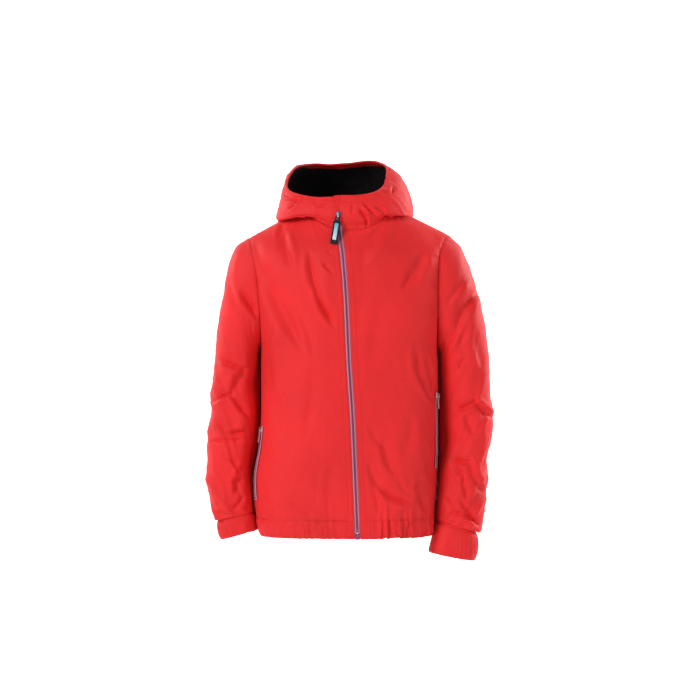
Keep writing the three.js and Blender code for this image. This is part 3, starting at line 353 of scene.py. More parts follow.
# Gathers of the hem casing: start and end as a share of the half hem, how many, and their height
HEM_GATHERS = {
    1: ((0.04, 0.14, 2, 1.5), (0.1, 0.97, 10, 9.5), (0.2, 0.8, 23, 1.4)),
    -1: ((0.04, 0.45, 7, 3.0), (0.4, 0.85, 5, 1.8), (0.8, 0.99, 3, 3.6)),
    0: ((0.02, 0.98, 29, 3.8), (0.1, 0.9, 61, 1.0)),
}

# Pocket zips beside the side seams
POCKETS = {1: (-292, -420), -1: (-350, -474)}
POCKET_FORWARD, POCKET_HALF, POCKET_THICK, LAYER_GAP = 47, 4, 1.2, 0.5

# Sliders and pull tabs, along the zip (length), across it (width) and off the cloth (height)
FRONT_SLIDER = {
    "width": 10, "length": 12, "plate": 2.2, "bridge_width": 3, "bridge_length": 9,
    "bridge_height": 4, "bridge_bar": 1.1, "pull_width": 12.5, "pull_length": 49,
    "pull_thickness": 1.8, "eye_width": 5.6, "eye_length": 6, "eye_bar": 1.3, "neck_width": 8.4,
    "lean": -11, "tilt": 13,
}
POCKET_SLIDER = {
    "width": 7.6, "length": 9, "plate": 1.8, "bridge_width": 2.4, "bridge_length": 7,
    "bridge_height": 3.4, "bridge_bar": 0.9, "pull_width": 6.5, "pull_length": 23,
    "pull_thickness": 1.5, "eye_width": 4.4, "eye_length": 5, "eye_bar": 1.1, "neck_width": 6.4,
    "lean": 0, "tilt": 3,
}


# Plain arithmetic on arrays


def mix(low, high, share):
    return low + (high - low) * share


def smooth_step(low, high, value):
    """0 below low, 1 above high, and between them three squares less two cubes."""
    t = np.clip((np.asarray(value, float) - low) / (high - low), 0, 1)
    return t * t * (3 - 2 * t)


def smooth_curve(keys, values, at):
    """Cubic curve through the values, its slope at each key that of the line between neighbours."""
    at = np.asarray(at, float)
    last = len(keys) - 1
    low = np.clip(np.searchsorted(keys, at) - 1, 0, last - 1)
    high = low + 1
    before, after = np.maximum(0, low - 1), np.minimum(last, high + 1)
    span = keys[high] - keys[low]
    t = np.clip((at - keys[low]) / span, 0, 1)
    extra = (...,) + (None,) * (values.ndim - 1)
    slope_low = (values[high] - values[before]) / (keys[high] - keys[before])[extra]
    slope_high = (values[after] - values[low]) / (keys[after] - keys[low])[extra]
    t, span = t[extra], span[extra]
    return (
        (2 * t**3 - 3 * t**2 + 1) * values[low]
        + (t**3 - 2 * t**2 + t) * span * slope_low
        + (3 * t**2 - 2 * t**3) * values[high]
        + (t**3 - t**2) * span * slope_high
    )


def soft_noise(across, along, seed):
    """Noise from -1 to 1: seeded heights at whole places, joined by a fifth-degree step."""
    heights = np.random.default_rng(seed).uniform(-1, 1, (61, 61))
    i, j = np.floor(across).astype(int), np.floor(along).astype(int)
    s, t = across - i, along - j
    s, t = s**3 * (s * (6 * s - 15) + 10), t**3 * (t * (6 * t - 15) + 10)
    h = lambda a, b: heights[(i + a) % 61, (j + b) % 61]
    return mix(mix(h(0, 0), h(1, 0), s), mix(h(0, 1), h(1, 1), s), t)


def turned_places(across, along, size, stretch, turn):
    """Places on the cloth turned by degrees, counted in one size and a stretched one."""
    angle = math.radians(turn)
    u = (across * math.cos(angle) + along * math.sin(angle)) / size
    return u, (along * math.cos(angle) - across * math.sin(angle)) / (size * stretch)


def ruffle(across, along, seed, size, stretch=1.0, turn=0.0):
    """Crisp small wrinkles from 0 to 1: noise folded at zero, so that it stands in ridges."""
    u, v = turned_places(across, along, size, stretch, turn)
    bend = 0.7 * soft_noise(u * 0.5, v * 0.5, seed + 1)
    return (1 - np.abs(soft_noise(u + bend, v - bend, seed))) ** 3


def facets(across, along, seed, size, stretch=1.0, turn=0.0):
    """Flat places between sharp ridges, from 0 to 1: one less the size of a noise."""
    u, v = turned_places(across, along, size, stretch, turn)
    noise = soft_noise(u, v, seed) + 0.3 * soft_noise(u * 2.3, v * 1.7, seed + 1)
    return 1 - np.sqrt(noise**2 + 0.002)


def unit(vectors):
    """Vectors at length one."""
    return vectors / np.maximum(np.linalg.norm(vectors, axis=-1, keepdims=True), 1e-9)


def points(x, y, z):
    """One array of points from three arrays that broadcast."""
    return np.stack(np.broadcast_arrays(*(np.asarray(a, float) for a in (x, y, z))), axis=-1)


# The jacket's surface


def ridge_z(x):
    """Top of the shoulder: straight slopes from the neck points, with an arch between them."""
    slope = np.where(x > 0, SHOULDERS[1]["slope"], SHOULDERS[-1]["slope"])
    over = np.abs(x) - NECK_HALF
    arch = NECK_POINT_Z + NECK_RIDGE_RISE * (1 - (x / NECK_HALF) ** 2)
    return np.where(over > 0, NECK_POINT_Z - slope * over, arch)


def neck_seam_z(face, x):
    """Neck seam: a power curve in front, a parabola behind."""
    share = np.minimum(1, np.abs(x) / NECK_HALF)
    if face == "front":
        return FRONT_NECK_Z + (NECK_POINT_Z - FRONT_NECK_Z) * share**FRONT_NECK_POWER
    return BACK_NECK_Z + (NECK_POINT_Z - BACK_NECK_Z) * share**2


def zip_x(z):
    return smooth_curve(ZIP_LINE["z"], ZIP_LINE["x"], z)


def side_reach(x, z):
    """Half width of the side that x is on: the table's below the armpit, a power curve above."""

    def reach(sign):
        side = SHOULDERS[sign]
        column = BODY[side["side"]]
        armpit = smooth_curve(BODY["z"], column, ARMPIT_Z)
        tip_z = ridge_z(np.asarray(sign * side["tip"], float))
        share = np.clip((z - ARMPIT_Z) / (tip_z - ARMPIT_Z), 0, 1)
        above = armpit + (side["tip"] - armpit) * share ** side["power"]
        return np.where(z <= ARMPIT_Z, smooth_curve(BODY["z"], column, z), above)

    return np.where(np.asarray(x) > 0, reach(1), reach(-1))


def body_depth(face, x, z):
    """Squared oval through the armhole, closing over the shoulder by a quarter circle."""
    full = smooth_curve(BODY["z"], BODY[face], z)
    square = smooth_curve(BODY["z"], BODY["square"], z)
    rise = np.clip((z - ARMPIT_Z) / ARMHOLE_RISE, 0, 1)
    armhole = ARMHOLE_DEPTH * np.sqrt(1 - (1 - rise) ** 2)
    closing = side_reach(x, z) / (1 - (armhole / full) ** square) ** (1 / square)
    across = np.maximum(0, 1 - np.minimum(1, np.abs(x) / closing) ** square) ** (1 / square)
    tip = np.where(x > 0, SHOULDERS[1]["tip"], SHOULDERS[-1]["tip"])
    height = mix(NECK_ROUND, TIP_ROUND, np.clip(np.abs(x) / tip, 0, 1))
    below = np.clip((ridge_z(x) - z) / height, 0, 1)
    return full * across * np.sqrt(1 - (1 - below) ** 2)


def body_point(face, x, z):
    depth = body_depth(face, x, z) + SEAM_GAP / 2
    return points(x, -depth if face == "front" else depth, z)


def front_point(x, z):
    """Front of the body, and above the neck seam the standing collar."""
    seam = body_point("front", x, neck_seam_z("front", x))
    turn = np.degrees(np.arctan2(seam[..., 0], -seam[..., 1]))
    edge_y = smooth_curve(HOOD_EDGE["turn"], HOOD_EDGE["y"], turn)
    edge_z = smooth_curve(HOOD_EDGE["turn"], HOOD_EDGE["z"], turn)
    up = (z - seam[..., 2]) / (edge_z - seam[..., 2])
    out = smooth_curve(HOOD_FULLNESS["up"], HOOD_FULLNESS["front_out"], up)
    collar = points(x, mix(seam[..., 1], edge_y, up) - out, z)
    on_body = (np.asarray(z) <= FRONT_NECK_Z)[..., None]
    return np.where(on_body, body_point("front", x, np.minimum(z, FRONT_NECK_Z)), collar)


def panel_grid(face, top_x, inner, lower, upper, low_z=HEM_SEAM_Z):
    """A body panel: each column keeps its share of the way from the inner edge to the side, and its
    rows run evenly to the armpit, then closer together towards both ends up to its top."""
    over = np.abs(top_x) >= NECK_HALF
    top_z = np.where(over, ridge_z(top_x), neck_seam_z(face, top_x))
    sign = np.where(top_x < 0, -1, 1) if face == "back" else np.sign(top_x[np.argmax(np.abs(top_x))])
    tip = np.where(sign > 0, SHOULDERS[1]["tip"], -SHOULDERS[-1]["tip"])
    share = (top_x - inner(top_z)) / (tip - inner(top_z))
    even = np.linspace(0, 1, upper + 1)[:, None]
    bent = 0.35 * even + 0.65 * (1 - np.cos(math.pi * even)) / 2
    low = mix(low_z, ARMPIT_Z, np.linspace(0, 1, lower, endpoint=False)[:, None]) + 0 * top_z
    z = np.vstack([low, mix(ARMPIT_Z, top_z, bent)])
    x = mix(inner(z), sign * side_reach(sign + 0 * z, z), share)
    return body_point(face, x, z)


def neck_places(sign, count):
    """Places along half the front neck seam, by the sine of even turns."""
    first = float(zip_x(FRONT_NECK_Z)) + sign * ZIP_GAP
    start = math.asin(abs(first) / NECK_HALF) * np.sign(first) * sign
    return sign * NECK_HALF * np.sin(np.linspace(start, math.pi / 2, count + 1))


def shoulder_places(sign, count):
    """Places along the shoulder seam beyond the neck point, closer together towards the tip."""
    share = np.linspace(0, 1, count + 1)[1:]
    return sign * mix(NECK_HALF, SHOULDERS[sign]["tip"], 0.4 * share + 0.6 * np.sin(share * math.pi / 2))


def back_neck_places(count):
    return NECK_HALF * np.cos(np.linspace(0, math.pi, count + 1))


def ring_points(rows, sign, turns):
    """Rings round the arm: an oval, a little squared, in the plane of each row's two edges."""
    outer = points(sign * rows["out_x"], rows["y"], rows["out_z"])[:, None]
    inner = points(sign * rows["in_x"], rows["y"], rows["in_z"])[:, None]
    middle, arm = (outer + inner) / 2, (outer - inner) / 2
    square = (1 + 0.05 * np.sin(2 * turns) ** 2)[None, :, None]
    front = np.array([0.0, -1.0, 0.0]) * rows["half"][:, None, None]
    return middle + (arm * np.cos(turns)[:, None] + front * np.sin(turns)[:, None]) * square


def armhole_ring(sign, turns):
    """The edge of the body panels round the armhole, a seam's gap away."""
    tip = sign * SHOULDERS[sign]["tip"]
    top = float(ridge_z(np.asarray(tip, float)))
    z = mix(ARMPIT_Z, top, (1 + np.cos(turns)) / 2)
    x = sign * side_reach(sign + 0 * z, z)
    y = body_depth("front", x, z) + SEAM_GAP / 2
    y_back = body_depth("back", x, z) + SEAM_GAP / 2
    depth = np.where(turns <= math.pi, -y, y_back) * (np.abs(np.sin(turns)) > 1e-6)
    return points(x + sign * (SEAM_GAP + 0.1), depth, z)


def hood_grid(front_count, back_count, rows):
    """Hood cloth: a straight way from the neck seam to the edge, moved out and hanging by its
    fullness, lifted clear of the shoulders."""
    left = neck_places(1, front_count)
    back = back_neck_places(back_count)[1:-1]
    right = neck_places(-1, front_count)[::-1]
    seam = np.vstack([
        body_point("front", left, neck_seam_z("front", left)),
        body_point("back", back, neck_seam_z("back", back)),
        body_point("front", right, neck_seam_z("front", right)),
    ])
    turn = np.degrees(np.arctan2(seam[:, 0], -seam[:, 1]))
    edge = np.stack([smooth_curve(HOOD_EDGE["turn"], HOOD_EDGE[axis], turn) for axis in "xyz"], -1)
    outward = unit(seam * np.array([1.0, 1.0, 0.0]))
    away = np.abs(turn)
    weight = {"back": smooth_step(95, 150, away), "front": 1 - smooth_step(25, 80, away)}
    rest = 1 - weight["back"] - weight["front"]
    weight["left"], weight["right"] = rest * (turn > 0), rest * (turn <= 0)
    up = np.linspace(0, 1, rows + 1)[:, None]
    read = lambda name: smooth_curve(HOOD_FULLNESS["up"], HOOD_FULLNESS[name], up)
    out = sum(weight[name] * read(name + "_out") for name in weight)
    drop = sum(weight[name] * read(name + "_drop") for name in weight)
    grid = mix(seam, edge, up[..., None]) + outward * out[..., None]
    grid[..., 2] += SEAM_GAP - drop
    clearance = 3 * smooth_step(0, 0.3, up) + 0 * out
    lift = lift_off_body(grid, clearance)
    grid[..., 2] += lift
    gap = mix(ZIP_GAP, COLLAR_GAP, smooth_step(ZIP_TOP_Z, COLLAR_CLOSES_Z, grid[:, [0, -1], 2]))
    grid[:, [0, -1], 0] = zip_x(grid[:, [0, -1], 2]) + gap * np.array([1, -1])
    return grid, turn


def lift_off_body(grid, clearance):
    """How far each point rises, in half millimetres, until it is clear of the body; then smoothed."""
    lift = np.zeros(grid.shape[:2])
    x, y, z = np.moveaxis(grid, -1, 0)
    for _ in range(120):
        height = z + lift - clearance
        front, back = body_depth("front", x, height), body_depth("back", x, height)
        depth = np.where(y < 0, front, back)
        inside = (clearance > 0.01) & (depth > 0) & (np.abs(y) < depth + clearance)
        if not inside.any():
            break
        lift += 0.5 * inside
    for _ in range(4):
        wide = np.pad(lift, 1, mode="edge")
        lift = (wide[:-2, 1:-1] + wide[2:, 1:-1] + wide[1:-1, :-2] + wide[1:-1, 2:] + 2 * lift) / 6
    lift[0] = 0
    return lift


# Folds of the cloth


def grid_normals(grid, ring=False):
    """Outward directions: across times along, from the differences between neighbours."""
    if ring:
        across = np.roll(grid, -1, axis=1) - np.roll(grid, 1, axis=1)
    else:
        across = np.gradient(grid, axis=1)
    return unit(np.cross(across, np.gradient(grid, axis=0)))


def arc(grid, axis):
    """Length of cloth from the grid's first row or column to each point."""
    steps = np.linalg.norm(np.diff(grid, axis=axis), axis=-1)
    first = [(0, 0), (0, 0)]
    first[axis] = (1, 0)
    return np.pad(np.cumsum(steps, axis=axis), first)


def edge_distances(grid, ring=False):
    """Cloth lengths to the first and last row and the first and last column."""
    along, across = arc(grid, 0), arc(grid, 1)
    far = np.full(along.shape, 1e3)
    sides = (far, far) if ring else (across, across[:, -1:] - across)
    return (along, along[-1:] - along, *sides)


def creases(x, z, rows):
    """Hand-placed creases: each a trough with a lower ridge on one side, fading out past its two
    ends. A broad trough is a bell curve of the distance from its bowed line; a narrow one falls to
    a crease by an exponential."""
    height = np.zeros(np.shape(x))
    for x0, z0, x1, z1, depth, half, bow, side in rows:
        run_x, run_z = x1 - x0, z1 - z0
        length = math.hypot(run_x, run_z)
        along = ((x - x0) * run_x + (z - z0) * run_z) / length**2
        inside = np.clip(along, 0, 1)
        off = side * ((x - x0) * run_z - (z - z0) * run_x) / length
        off = off - side * bow * 4 * inside * (1 - inside)
        ends = smooth_step(-0.15, 0.3, along) * smooth_step(1.15, 0.7, along)
        s = off / (half * (0.7 + 0.3 * np.sin(math.pi * inside)))
        steep = np.where(s > 0, 1.35, 0.8)
        sharp = smooth_step(11, 6, half)
        trough = mix(np.exp(-((s * steep) ** 2)), np.exp(-1.7 * (np.hypot(s, 0.16) - 0.16)), sharp)
        ridge = 0.5 * np.exp(-(((s - 1.35) / 0.75) ** 2))
        height = height + 1.2 * depth * ends * (ridge - trough)
    return height


def swell(across, along, seed):
    """Broad unevenness of hanging cloth, in millimetres either way."""
    broad = 1.5 * soft_noise(across / 62, along / 85, seed)
    return broad + 0.7 * soft_noise(across / 27, along / 38, seed + 5)


def seam_pinch(distance, along, seed, depth=1.1, pucker=0.9):
    """Cloth drawn in to a seam by a bell curve, with uneven puckers that run out from it."""
    waves = soft_noise(along / 5.5, distance / 40, seed) * smooth_step(0, 3, distance)
    patch = 0.55 + 0.45 * soft_noise(along / 45, 0 * distance, seed + 9)
    puckers = pucker * patch * waves * np.exp(-((distance / 11) ** 2))
    return puckers - depth * np.exp(-((distance / 3) ** 2))


def gathers(share, rows, seed):
    """Puckers between pinched lines, each of its own height: half sines of an uneven share, with
    their crests drawn to one side by a power."""
    height = np.zeros(np.shape(share))
    for start, end, count, tall in rows:
        t = np.clip((share - start) / (end - start), 0, 1)
        t = t + 0.3 / count * np.sin(2 * math.pi * (count * 0.37 * t + 0.2 * seed))
        own = 0.65 + 0.45 * soft_noise(count * t * 0.9, 0 * t + seed, seed + 3)
        fade = np.minimum(1, 6 * np.minimum(np.clip(t, 0, 1), 1 - np.clip(t, 0, 1)))
        part = np.mod(count * t, 1) ** 1.5
        height = height + tall * own * fade * np.sin(math.pi * part) ** 0.85
    return height


# Meshes


def enclosed_volume(mesh):
    """Volume inside a closed mesh: the sum of its triangles' pyramids to the origin."""
    mesh.calc_loop_triangles()
    corners = np.empty(len(mesh.loop_triangles) * 3, int)
    mesh.loop_triangles.foreach_get("vertices", corners)
    places = np.empty(len(mesh.vertices) * 3)
    mesh.vertices.foreach_get("co", places)
    a, b, c = np.moveaxis(places.reshape(-1, 3)[corners.reshape(-1, 3)], 1, 0)
    return float((a * np.cross(b, c)).sum() / 6)


def new_object(name, vertices, faces, material, uv=None, smooth_angle=50):
    """A mesh object at the origin from vertices in millimetres, with its UV map in metres."""
    mesh = bpy.data.meshes.new(name)
    mesh.from_pydata((np.reshape(vertices, (-1, 3)) * MM).tolist(), [], faces)
    if uv is not None:
        layer = mesh.uv_layers.new(name="cloth")
        layer.data.foreach_set("uv", (np.reshape(uv, -1) * MM).astype(np.float32))
    mesh.materials.append(material)
    if enclosed_volume(mesh) < 0:
        mesh.flip_normals()
    mesh.polygons.foreach_set("use_smooth", np.ones(len(mesh.polygons), bool))
    mesh.set_sharp_from_angle(angle=math.radians(smooth_angle))
    mesh.update()
    if mesh.validate():
        raise ValueError(f"{name} had faces that are not whole")
    obj = bpy.data.objects.new(name, mesh)
    bpy.context.scene.collection.objects.link(obj)
    return obj


def quad_corners(rows, columns, ring):
    """Row and column of the four corners of each quad of a grid."""
    spans = columns if ring else columns - 1
    j, i = (a.ravel() for a in np.meshgrid(np.arange(rows - 1), np.arange(spans), indexing="ij"))
    return np.stack([j, j, j + 1, j + 1], 1), np.stack([i, i + 1, i + 1, i], 1)


def level_normals(normals, level):
    """Take a direction out of an edge's normals, so that the cut edge lies square in its seam."""
    normals = normals.copy()
    places = {"first": (0,), "last": (-1,), "start": (slice(None), 0), "end": (slice(None), -1)}
    for name, direction in level.items():
        place = places[name]
        direction = unit(np.asarray(direction, float))
        flat = normals[place] - (normals[place] @ direction)[..., None] * direction
        normals[place] = unit(flat)
    return normals


def cloth_shell(name, grid, thickness, material, ring=False, level=None, normals=None):
    """A closed wall: the grid outside, the same grid moved in along its normals, and rims."""
    rows, columns = grid.shape[:2]
    normals = grid_normals(grid, ring) if normals is None else normals
    inner = grid - level_normals(normals, level or {}) * thickness
    place = lambda j, i: j * columns + i % columns
    deep = rows * columns
    j, i = quad_corners(rows, columns, ring)
    outside = place(j, i)
    inside = outside[:, ::-1] + deep
    closed = np.concatenate([grid, grid[:, :1]], axis=1) if ring else grid
    u, v = arc(closed, 1), arc(closed, 0)
    wall_uv = np.stack([u[j, i], v[j, i]], -1)
    spans = np.arange(columns if ring else columns - 1)
    low, high = place(0, spans), place(0, spans + 1)
    top, top_next = place(rows - 1, spans), place(rows - 1, spans + 1)
    faces = [outside, inside, np.stack([low, low + deep, high + deep, high], 1)]
    faces.append(np.stack([top, top_next, top_next + deep, top + deep], 1))
    if not ring:
        k = np.arange(rows - 1)
        a, b = place(k, 0), place(k + 1, 0)
        faces.append(np.stack([a, b, b + deep, a + deep], 1))
        a, b = place(k, columns - 1), place(k + 1, columns - 1)
        faces.append(np.stack([a, a + deep, b + deep, b], 1))
    rims = sum(len(f) for f in faces[2:])
    uv = np.concatenate([wall_uv, wall_uv[:, ::-1], np.zeros((rims, 4, 2))])
    return new_object(name, np.stack([grid, inner]), np.concatenate(faces).tolist(), material, uv)


def tube(name, path, radius, reference, sides, material, closed=False):
    """A round profile carried along a path; the reference direction keeps it from twisting."""
    step = np.roll(path, -1, 0) - np.roll(path, 1, 0) if closed else np.gradient(path, axis=0)
    side = unit(np.cross(unit(step), reference))
    lift = np.cross(side, unit(step))
    turns = np.linspace(0, 2 * math.pi, sides, endpoint=False)[None, :, None]
    radius = np.broadcast_to(radius, len(path))[:, None, None]
    rings = path[:, None] + radius * (side[:, None] * np.cos(turns) + lift[:, None] * np.sin(turns))
    return ring_stack(name, rings, material, closed)


def ring_stack(name, rings, material, closed=False, smooth_angle=50):
    """Rings of points joined one to the next, with a flat face on each open end."""
    if closed:
        rings = np.concatenate([rings, rings[:1]])
    count, sides = rings.shape[:2]
    j, i = quad_corners(count, sides, True)
    if closed:
        rings, j = rings[:-1], j % (count - 1)
    faces = (j * sides + i % sides)[:, ::-1].tolist()
    if not closed:
        faces += [list(range(sides)), list(range(count * sides - 1, (count - 1) * sides - 1, -1))]
    return new_object(name, rings, faces, material, smooth_angle=smooth_angle)


def resample(path, extra, pitch):
    """Points an even pitch apart along a path, with what goes with them."""
    length = np.concatenate([[0], np.cumsum(np.linalg.norm(np.diff(path, axis=0), axis=1))])
    at = np.arange(pitch / 2, length[-1] - pitch / 3, pitch)
    read = lambda values: np.stack([np.interp(at, length, values[:, k]) for k in range(3)], 1)
    return read(path), read(extra)


def stitches(name, lines, material, pitch=3.4, length=2.5, radius=0.3):
    """Topstitching: along each line a row of threads, each a four-sided bead that dips at its ends."""
    beads = []
    for path, normals in lines:
        places, up = resample(path, normals, pitch)
        ahead = unit(np.gradient(places, axis=0))
        up = unit(up - (up * ahead).sum(1, keepdims=True) * ahead)
        side = np.cross(ahead, up)
        along = np.array([-0.5, -0.3, 0.3, 0.5])[None, :, None] * length
        thick = np.array([0.5, 1, 1, 0.5])[None, :, None, None] * radius
        height = np.array([-0.35, 0.12, 0.12, -0.35])[None, :, None]
        turn = np.linspace(0, 2 * math.pi, 4, endpoint=False)[None, None, :, None]
        middle = places[:, None] + ahead[:, None] * along + up[:, None] * height
        ring = side[:, None, None] * np.cos(turn) + up[:, None, None] * np.sin(turn)
        beads.append(middle[:, :, None] + ring * thick)
    beads = np.concatenate(beads)
    j, i = quad_corners(4, 4, True)
    bead = (j * 4 + i % 4).tolist() + [[3, 2, 1, 0], [12, 13, 14, 15]]
    faces = (np.array(bead)[None] + 16 * np.arange(len(beads))[:, None, None]).reshape(-1, 4)
    obj = new_object(name, beads, faces.tolist(), material)
    finish_piece(obj)
    return obj


def grid_line(grid, normals, row, column, height=0.25):
    """A line over a grid at fractional rows and columns, a little off the cloth, with normals."""
    row, column = np.broadcast_arrays(np.asarray(row, float), np.asarray(column, float))
    j = np.clip(np.floor(row).astype(int), 0, grid.shape[0] - 2)
    i = np.clip(np.floor(column).astype(int), 0, grid.shape[1] - 2)
    t, s = (row - j)[:, None], (column - i)[:, None]
    read = lambda a: mix(mix(a[j, i], a[j, i + 1], s), mix(a[j + 1, i], a[j + 1, i + 1], s), t)
    path, up = read(grid), unit(read(normals))
    return path + up * height, up


def column_at(distance, wanted):
    """Fractional column of each row at a wanted cloth length, where distance grows with it."""
    return np.array([np.interp(wanted, row, np.arange(len(row))) for row in distance])


def row_at(distance, wanted):
    """Fractional row of each column at a wanted cloth length from the first row."""
    return column_at(distance.T, wanted)


def finish_piece(obj, body="jacket", nodes=()):
    """Put a piece on its body, name its material slot, and let it stand for its CAD nodes."""
    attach(obj, body)
    if nodes:
        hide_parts(*nodes)
    return obj


# Materials


class Nodes:
    """Adds nodes to one node tree, with values or links for their inputs."""

    def __init__(self, tree):
        self.tree = tree

    def add(self, kind, inputs=None, **settings):
        node = self.tree.nodes.new(kind)
        for key, value in settings.items():
            setattr(node, key, value)
        for key, value in (inputs or {}).items():
            if isinstance(value, bpy.types.NodeSocket):
                self.tree.links.new(value, node.inputs[key])
            else:
                node.inputs[key].default_value = value
        return node

    def math(self, operation, first, second=0.0):
        return self.add("ShaderNodeMath", {0: first, 1: second}, operation=operation).outputs[0]


def node_group(name, inputs, outputs, build):
    """A shader node group with named sockets, built once."""
    tree = bpy.data.node_groups.get(name)
    if tree:
        return tree
    tree = bpy.data.node_groups.new(name, "ShaderNodeTree")
    for socket, kind in inputs:
        tree.interface.new_socket(name=socket, in_out="INPUT", socket_type=kind)
    for socket, kind in outputs:
        tree.interface.new_socket(name=socket, in_out="OUTPUT", socket_type=kind)
    nodes = Nodes(tree)
    source = nodes.add("NodeGroupInput").outputs
    sink = nodes.add("NodeGroupOutput")
    for socket, value in build(nodes, source).items():
        tree.links.new(value, sink.inputs[socket])
    return tree


def plain_weave(nodes, source):
    """Plain weave: the product of two sines, one for each thread direction, and a slubby noise."""
    split = nodes.add("ShaderNodeSeparateXYZ", {"Vector": source["Cloth"]})
    threads = source["Threads"]
    wave = [nodes.math("SINE", nodes.math("MULTIPLY", split.outputs[k], threads)) for k in (0, 1)]
    weave = nodes.math("MULTIPLY", wave[0], wave[1])
    slub = nodes.add("ShaderNodeTexNoise", {"Vector": source["Cloth"], "Scale": 900.0, "Detail": 2.0})
    height = nodes.math("ADD", weave, nodes.math("MULTIPLY", slub.outputs["Fac"], 0.6))
    return {"Height": height}


def cloth_unevenness(nodes, source):
    """Small crinkles and a patchy tone: two noises of different size, the finer one folded."""
    crinkle = nodes.add(
        "ShaderNodeTexNoise",
        {"Vector": source["Place"], "Scale": 55.0, "Detail": 5.0, "Roughness": 0.55, "Distortion": 0.6},
    )
    folded = nodes.math("ABSOLUTE", nodes.math("SUBTRACT", crinkle.outputs["Fac"], 0.5))
    broad = nodes.add("ShaderNodeTexNoise", {"Vector": source["Place"], "Scale": 9.0, "Detail": 3.0})
    tone = nodes.add("ShaderNodeMapRange", {"Value": broad.outputs["Fac"], 1: 0.35, 2: 0.65})
    return {"Crinkle": folded, "Tone": tone.outputs[0]}


def edge_wear(nodes, source):
    """Scuffs: a fine noise kept only at its highest values."""
    noise = nodes.add("ShaderNodeTexNoise", {"Vector": source["Place"], "Scale": 700.0, "Detail": 6.0})
    mask = nodes.add("ShaderNodeMapRange", {"Value": noise.outputs["Fac"], 1: 0.52, 2: 0.75})
    return {"Mask": mask.outputs[0]}


VECTOR, VALUE = "NodeSocketVector", "NodeSocketFloat"


def new_material(name, settings):
    """A material with a Principled shader and its constant sockets set."""
    material = bpy.data.materials.new(name)
    material.use_nodes = True
    nodes = Nodes(material.node_tree)
    shader = material.node_tree.nodes["Principled BSDF"]
    for socket, value in settings.items():
        shader.inputs[socket].default_value = value
    return material, nodes, shader


def finish(name):
    """The material of that name, made on first use from the colours in the sidebar."""
    return bpy.data.materials.get(name) or FINISHES[name](name)


def two_tone(nodes, shader, mask, low, high):
    """Base colour between two shades by a mask."""
    colour = nodes.add(
        "ShaderNodeMix", {"Factor": mask, "A": (*low, 1), "B": (*high, 1)}, data_type="RGBA"
    )
    nodes.tree.links.new(colour.outputs["Result"], shader.inputs["Base Color"])


def shaded(colour, factor):
    return tuple(c * factor for c in colour)


def woven_material(name, colour, roughness, threads, weave, crinkle, sheen, specular):
    """Woven cloth: two close shades by patch, weave and crinkles in the bump, uneven gloss."""
    settings = {
        "Sheen Weight": sheen,
        "Sheen Roughness": 0.45,
        "Specular IOR Level": specular,
    }
    material, nodes, shader = new_material(name, settings)
    coordinates = nodes.add("ShaderNodeTexCoord").outputs
    uneven = nodes.add("ShaderNodeGroup", node_tree=node_group(
        "cloth unevenness", [("Place", VECTOR)], [("Crinkle", VALUE), ("Tone", VALUE)], cloth_unevenness
    ))
    nodes.tree.links.new(coordinates["Object"], uneven.inputs["Place"])
    woven = nodes.add("ShaderNodeGroup", node_tree=node_group(
        "plain weave", [("Cloth", VECTOR), ("Threads", VALUE)], [("Height", VALUE)], plain_weave
    ))
    nodes.tree.links.new(coordinates["UV"], woven.inputs["Cloth"])
    woven.inputs["Threads"].default_value = threads
    two_tone(nodes, shader, uneven.outputs["Tone"], shaded(colour, 0.93), shaded(colour, 1.05))
    gloss = nodes.add("ShaderNodeMapRange", {
        "Value": uneven.outputs["Tone"], 3: roughness - 0.05, 4: roughness + 0.05,
    })
    nodes.tree.links.new(gloss.outputs[0], shader.inputs["Roughness"])
    fine = nodes.add("ShaderNodeBump", {
        "Strength": 0.5, "Distance": weave, "Height": woven.outputs["Height"],
    })
    soft = nodes.add("ShaderNodeBump", {
        "Strength": 0.8, "Distance": crinkle, "Height": uneven.outputs["Crinkle"],
        "Normal": fine.outputs[0],
    })
    nodes.tree.links.new(soft.outputs[0], shader.inputs["Normal"])
    return material


def hard_material(name, colour, roughness, metallic, grain, **settings):
    """Moulded or cast surface: fine grain in the bump, scuffs that lighten and dull it."""
    material, nodes, shader = new_material(name, {"Metallic": metallic, **settings})
    place = nodes.add("ShaderNodeTexCoord").outputs["Object"]
    worn = nodes.add("ShaderNodeGroup", node_tree=node_group(
        "edge wear", [("Place", VECTOR)], [("Mask", VALUE)], edge_wear
    ))
    nodes.tree.links.new(place, worn.inputs["Place"])
    two_tone(nodes, shader, worn.outputs["Mask"], colour, tuple(mix(c, 0.5, 0.05) for c in colour))
    rough = nodes.add("ShaderNodeMapRange", {
        "Value": worn.outputs["Mask"], 3: roughness, 4: roughness + 0.15,
    })
    nodes.tree.links.new(rough.outputs[0], shader.inputs["Roughness"])
    noise = nodes.add("ShaderNodeTexNoise", {"Vector": place, "Scale": 2500.0, "Detail": 3.0})
    bump = nodes.add("ShaderNodeBump", {
        "Strength": 0.4, "Distance": grain, "Height": noise.outputs["Fac"],
    })
    nodes.tree.links.new(bump.outputs[0], shader.inputs["Normal"])
    return material


def shell_material(name):
    colour = bpy.context.scene.rain_jacket_cloth.shell_colour
    return woven_material(name, tuple(colour), 0.6, 5200, 0.00005, 0.0011, 0.03, 0.2)


def band_material(name):
    colour = tuple(bpy.context.scene.rain_jacket_cloth.shell_colour)
    return woven_material(name, colour, 0.6, 5200, 0.00006, 0.0014, 0.03, 0.2)


def thread_material(name):
    colour = shaded(bpy.context.scene.rain_jacket_cloth.shell_colour, 0.9)
    return hard_material(name, colour, 0.6, 0.0, 0.0001)


